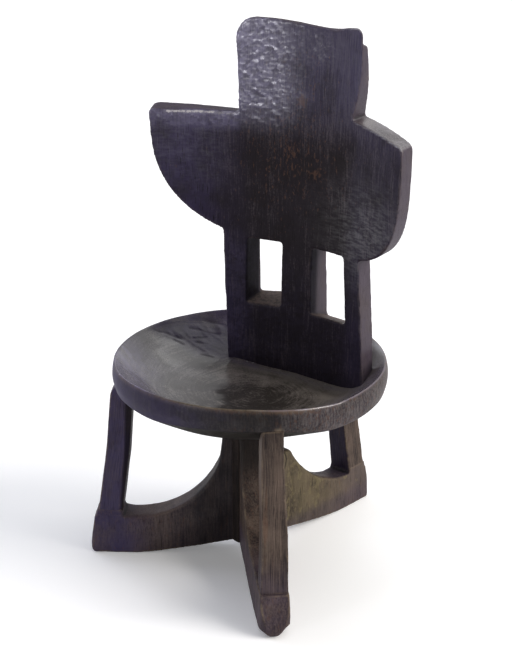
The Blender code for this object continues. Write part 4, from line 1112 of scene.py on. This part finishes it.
class CHAIR_OT_runners(bpy.types.Operator):
    """Carves the runners and their feet"""

    bl_idname = "chair.runners"
    bl_label = "Runners"

    def execute(self, context):
        look = context.scene.chair_legs
        shared_trees()
        material = wood_material(
            "runner_wood", look, 470.0, 0.6, 0.0006, drawn_out=30.0, streaky=1.0, cloudy=1.4,
            speckled=0.8, fleck_length=5.0,
        )
        for leg in LEG_TURNS:
            mesh = carving_blank(leg + "_runner", look.grid)
            shape_runner(mesh, leg)
            places = points_of(mesh)
            out, _ = leg_view(leg, places)
            facing = normals_of(mesh)
            rightward = smooth_step(facing[:, 0] * 0.84 - facing[:, 1] * 0.3, 0.2, 0.7)
            under_seat = smooth_step(places[:, 2], 0.125, 0.180)
            size = len(places)
            plain = np.full(size, 1.0)
            store(mesh, "edge_turn", edges_and_creases(mesh))
            store(mesh, "tool_zone", plain * 0.5)
            store(mesh, "sheen", plain * 0.05)
            if leg == "rear":
                from_crack = np.abs(out - np.interp(places[:, 2], CRACK_HEIGHTS, CRACK_PLACES))
                crack = np.exp(-(from_crack / 0.0013) ** 2)
                foot_end = smooth_step(out, 0.12, 0.23)
                # The tan dust on the faces turned to the warm lamp is partly real dust and partly painted
                # light; the paleness there is painted light
                dust_and_lit_share = 0.72 - 0.35 * foot_end - 0.30 * smooth_step(places[:, 2], 0.04, 0.02)
                store(mesh, "dust_and_painted_light", rightward * dust_and_lit_share)
                store(mesh, "pale", rightward * (0.15 + 0.30 * foot_end))
                store(mesh, "rust", rightward * 0.40)
                # Painted highlight on the lit faces towards the foot end
                store(mesh, "painted_highlight", 0.16 * rightward * foot_end)
                low_end = np.maximum(foot_end, smooth_step(places[:, 2], 0.05, 0.02))
                # Painted violet light towards the foot end and at the bottom
                store(mesh, "painted_violet_light", plain * 0.45 * low_end)
                # A dark line painted along the crack stands for the shade inside it
                store(mesh, "darkening", crack * smooth_step(places[:, 2], 0.122, 0.128) * rightward)
            elif leg == "front_left":
                # The upward faces of the curve are paler and less darkened
                upward_curve = smooth_step(facing[:, 2], 0.35, 0.65) * smooth_step(out, 0.07, 0.12)
                far_end = 0.40 * smooth_step(out, 0.14, 0.22)
                # Painted violet light, stronger on faces looking ahead at the far end
                store(mesh, "painted_violet_light", 0.20 + far_end * (1.0 + looks_ahead(facing)))
                store(mesh, "pale", plain * 0.50 * smooth_step(out, 0.10, 0.20) + 0.35 * upward_curve)
                # Painted shade near the post, under the seat
                store(mesh, "darkening", smooth_step(out, 0.15, 0.06) * 0.62 * (1.0 - 0.8 * upward_curve))
                store(mesh, "rust", plain * 0.42)
                # Painted sheen at the far end
                store(mesh, "painted_sheen", 0.12 * smooth_step(out, 0.15, 0.22))
            else:
                store(mesh, "pale", 0.16 + 0.16 * smooth_step(places[:, 2], 0.07, 0.04))
                store(mesh, "rust", plain * 0.45)
                # Painted violet light low down, and painted shade under the seat
                store(mesh, "painted_violet_light", plain * 0.45 * smooth_step(places[:, 2], 0.08, 0.05))
                store(mesh, "darkening", 0.85 * under_seat)
            runner = carve(
                mesh, "carved_" + leg + "_runner", material, mark_size=(0.016, 0.016, 0.026), mark_depth=0.0012,
                wobble_size=0.045, wobble_depth=0.0016,
            )
            keep(runner, leg + "_runner")
        return {"FINISHED"}


def shape_left_strut(places, leg):
    """Leans a strut's top out and cuts its inner front edge back; returns where it was cut."""
    turn = math.radians(LEG_TURNS[leg])
    heading = np.array((math.sin(turn), -math.cos(turn)))
    out, aside = leg_view(leg, places)
    ends = []
    for level in (FOOT_TOP + 0.010, 0.255):
        near = np.abs(places[:, 2] - level) < 0.008
        ends.append((level, out[near].min()))
    inner = np.interp(places[:, 2], [end[0] for end in ends], [end[1] for end in ends])
    width = np.interp(places[:, 2], (FOOT_TOP, 0.270), (0.006, 0.013))
    cut = np.clip(width - (out - inner), 0.0, None) * smooth_step(aside - aside.mean(), 0.0, 0.004)
    places[:, :2] -= np.array((-heading[1], heading[0])) * (0.75 * cut)[:, None]
    places[:, :2] += heading * (0.006 * smooth_step(places[:, 2], 0.15, 0.28))[:, None]
    return smooth_step(cut, 0.0005, 0.003)


# How far the foot of the rim's wall stands from the seat's middle above a strut
RIM_FOOT_REACH = {"front_left": 0.2050, "rear": 0.2088}


def lap_over_rim(places, leg):
    """Carries the outer half of a strut's top up over the foot of the rim's wall, where it dies away."""
    flat = places[:, :2] - np.array(SEAT_MIDDLE)
    reach = np.hypot(flat[:, 0], flat[:, 1])
    places[:, 2] += 0.012 * smooth_step(places[:, 2], 0.262, 0.285) * smooth_step(reach, 0.188, 0.203)
    wall = RIM_FOOT_REACH[leg] + 0.25 * (places[:, 2] - 0.284)
    proud = np.clip(reach - wall + 0.0020, 0.0, None) * smooth_step(places[:, 2], 0.262, 0.287)
    places[:, :2] -= flat * (proud / reach)[:, None]


class CHAIR_OT_struts(bpy.types.Operator):
    """Carves the leaning struts"""

    bl_idname = "chair.struts"
    bl_label = "Struts"

    def execute(self, context):
        look = context.scene.chair_legs
        shared_trees()
        material = wood_material(
            "strut_wood", look, 640.0, 0.58, 0.0008, drawn_out=140.0, streaky=1.7,
            speckled=0.4, fleck_length=12.0, leaning=True,
        )
        for leg in LEG_TURNS:
            mesh = carving_blank(leg + "_strut", look.grid)
            places = points_of(mesh)
            places[:, 2] -= look.overlap * smooth_step(places[:, 2], FOOT_TOP + 0.004, FOOT_TOP + 0.002)
            if leg == "front_right":
                places[:, 2] += 0.012 * smooth_step(places[:, 2], 0.262, 0.280)
                aslant = math.radians(LEG_TURNS[leg])
                lean = 0.0055 * smooth_step(places[:, 2], 0.110, 0.270)
                places[:, :2] -= np.array((math.cos(aslant), math.sin(aslant))) * lean[:, None]
            if leg == "front_left":
                chamfer = shape_left_strut(places, leg)
            if leg in RIM_FOOT_REACH:
                lap_over_rim(places, leg)
            move_points(mesh, places)
            facing = normals_of(mesh)
            rightward = smooth_step(facing[:, 0], 0.3, 0.8)
            plain = np.full(len(places), 1.0)
            upright = places.copy()
            for i in range(2):
                upright[:, i] -= np.polyfit(places[:, 2], places[:, i], 1)[0] * places[:, 2]
            store_grain(mesh, upright)
            store(mesh, "edge_turn", edges_and_creases(mesh))
            store(mesh, "tool_zone", plain * 0.5)
            store(mesh, "sheen", plain * 0.05)
            if leg == "front_left":
                # Painted violet light, stronger on faces looking ahead, and painted sheen off the cut face,
                # which is darker
                store(mesh, "painted_violet_light", 0.45 + 0.45 * looks_ahead(facing))
                store(mesh, "painted_sheen", 0.14 * (1.0 - chamfer))
                store(mesh, "pale", plain * 0.30)
                store(mesh, "darkening", 0.6 * chamfer)
            elif leg == "rear":
                # Faces turned to the right are paler, painted light; the others get painted violet light
                store(mesh, "pale", rightward * 0.25)
                store(mesh, "rust", plain * 0.3)
                store(mesh, "painted_violet_light", (1.0 - rightward) * 0.7)
            else:
                across = leg_view(leg, places)[1]
                right, left = strut_section(leg)[2:]
                share_across = (across - right) / (left - right)
                stripe = np.exp(-((share_across - 0.22) / 0.10) ** 2) * smooth_step(places[:, 2], 0.085, 0.11)
                stripe = stripe * smooth_step(places[:, 2], 0.225, 0.195)
                # Painted light on the narrow left side near the top
                lit_side_strip = smooth_step(share_across, 0.17, 0.09) * smooth_step(places[:, 2], 0.165, 0.19)
                store(mesh, "pale", plain * 0.22 + 0.6 * lit_side_strip)
                store(mesh, "rub_and_highlight", 0.30 * stripe)
                # Painted violet light low down
                store(mesh, "painted_violet_light", 0.35 * smooth_step(places[:, 2], 0.12, 0.07))
                store(mesh, "rust", plain * 0.30 + 0.5 * stripe)
                # Painted shade at the top, under the seat, off the lit strip
                store(mesh, "darkening", 0.35 * smooth_step(places[:, 2], 0.22, 0.27) * (1.0 - lit_side_strip))
            strut = carve(
                mesh, "carved_" + leg + "_strut", material, mark_size=(0.012, 0.012, 0.040), mark_depth=0.0011,
                wobble_size=0.045, wobble_depth=0.0014,
            )
            keep(strut, leg + "_strut")
        return {"FINISHED"}


# Stage
def bearing(azimuth, elevation):
    """Unit vector towards a place seen at an azimuth from the chair's front and a height above the floor."""
    side, rise = math.radians(azimuth), math.radians(elevation)
    return Vector((math.sin(side) * math.cos(rise), -math.cos(side) * math.cos(rise), math.sin(rise)))


def soft_lamp(name, azimuth, elevation, strength, tint, spread):
    """Far, wide lamp that lights the whole stage evenly."""
    lamp = bpy.data.lights.new(name, "SUN")
    lamp.energy = strength
    lamp.color = tint
    lamp.angle = math.radians(spread)
    item = bpy.data.objects.new(name, lamp)
    item.rotation_mode = "QUATERNION"
    item.rotation_quaternion = (-bearing(azimuth, elevation)).to_track_quat("-Z", "Y")
    bpy.context.scene.collection.objects.link(item)


def seen_directly(tree):
    """1 for rays from the camera, and for those that gloss or glass sends on."""
    path = place(tree, "ShaderNodeLightPath")
    seen = sums(tree, "MAXIMUM", path.outputs["Is Camera Ray"], path.outputs["Is Glossy Ray"])
    return sums(tree, "MAXIMUM", seen, path.outputs["Is Transmission Ray"])


class CHAIR_OT_stage(bpy.types.Operator):
    """Sets up the floor, the lamps and the camera"""

    bl_idname = "chair.stage"
    bl_label = "Stage"

    def execute(self, context):
        look = context.scene.chair_stage
        scene = context.scene
        scene.view_settings.view_transform = "Standard"
        foot = Vector((*POST_AXIS, 0.0))

        camera_data = bpy.data.cameras.new("photo_view")
        camera_data.lens = look.lens
        camera = bpy.data.objects.new("photo_view", camera_data)
        camera.location = foot + Vector(look.camera)
        sight = foot + Vector(look.target) - camera.location
        camera.rotation_euler = sight.to_track_quat("-Z", "Y").to_euler()
        scene.collection.objects.link(camera)
        scene.camera = camera

        half = look.floor_size / 2.0
        mesh = bpy.data.meshes.new("floor")
        corners = [(-half, -half, 0.0), (half, -half, 0.0), (half, half, 0.0), (-half, half, 0.0)]
        mesh.from_pydata(corners, [], [(0, 1, 2, 3)])
        floor = linked("floor", mesh)
        pale = bpy.data.materials.new("studio_floor")
        pale.use_nodes = True
        tree = pale.node_tree
        tree.nodes.remove(tree.nodes["Principled BSDF"])
        matt = place(tree, "ShaderNodeBsdfDiffuse", {"Color": (*look.floor, 1.0)})
        glow_strength = sums(tree, "MULTIPLY", seen_directly(tree), look.floor_glow)
        glow = place(tree, "ShaderNodeEmission", {"Strength": glow_strength})
        both = place(tree, "ShaderNodeAddShader", {0: matt.outputs[0], 1: glow.outputs[0]})
        tree.links.new(both.outputs[0], tree.nodes["Material Output"].inputs["Surface"])
        mesh.materials.append(pale)

        soft_lamp("warm_side", 105.0, 32.0, 2.6, (1.0, 0.95, 0.89), 35.0)
        soft_lamp("cool_side", -100.0, 30.0, 1.1, (0.82, 0.84, 1.0), 45.0)
        soft_lamp("overhead", 170.0, 70.0, 1.1, (1.0, 1.0, 1.0), 60.0)
        soft_lamp("window", -16.0, 9.0, 0.6, (0.93, 0.92, 1.0), 9.0)

        world = bpy.data.worlds.new("studio")
        scene.world = world
        world.use_nodes = True
        tree = world.node_tree
        strength = sums(tree, "ADD", look.fill, sums(tree, "MULTIPLY", seen_directly(tree), 1.0 - look.fill))
        tree.nodes["Background"].inputs["Color"].default_value = (1.0, 1.0, 1.0, 1.0)
        tree.links.new(strength, tree.nodes["Background"].inputs["Strength"])
        return {"FINISHED"}


class CHAIR_PT_panel(bpy.types.Panel):
    """Lists the steps that dress the chair"""

    bl_idname = "CHAIR_PT_panel"
    bl_label = "Carved Chair"
    bl_space_type = "VIEW_3D"
    bl_region_type = "UI"
    bl_category = "Carved Chair"

    def draw(self, context):
        for operator in OPERATORS:
            self.layout.operator(operator.bl_idname)


OPERATORS = (
    CHAIR_OT_seat, CHAIR_OT_back_board, CHAIR_OT_centre_post, CHAIR_OT_runners, CHAIR_OT_struts,
    CHAIR_OT_stage,
)
LOOKS = {"chair_seat": SeatLook, "chair_board": BoardLook, "chair_legs": LegLook, "chair_stage": StageLook}
CLASSES = (*LOOKS.values(), *OPERATORS, CHAIR_PT_panel)


def register():
    for item in CLASSES:
        bpy.utils.register_class(item)
    for name, look in LOOKS.items():
        setattr(bpy.types.Scene, name, PointerProperty(type=look))


def unregister():
    for name in LOOKS:
        delattr(bpy.types.Scene, name)
    for item in reversed(CLASSES):
        bpy.utils.unregister_class(item)


def main():
    register()
    bpy.ops.chair.seat()
    bpy.ops.chair.back_board()
    bpy.ops.chair.centre_post()
    bpy.ops.chair.runners()
    bpy.ops.chair.struts()
    bpy.ops.chair.stage()


if __name__ == "__main__":
    main()
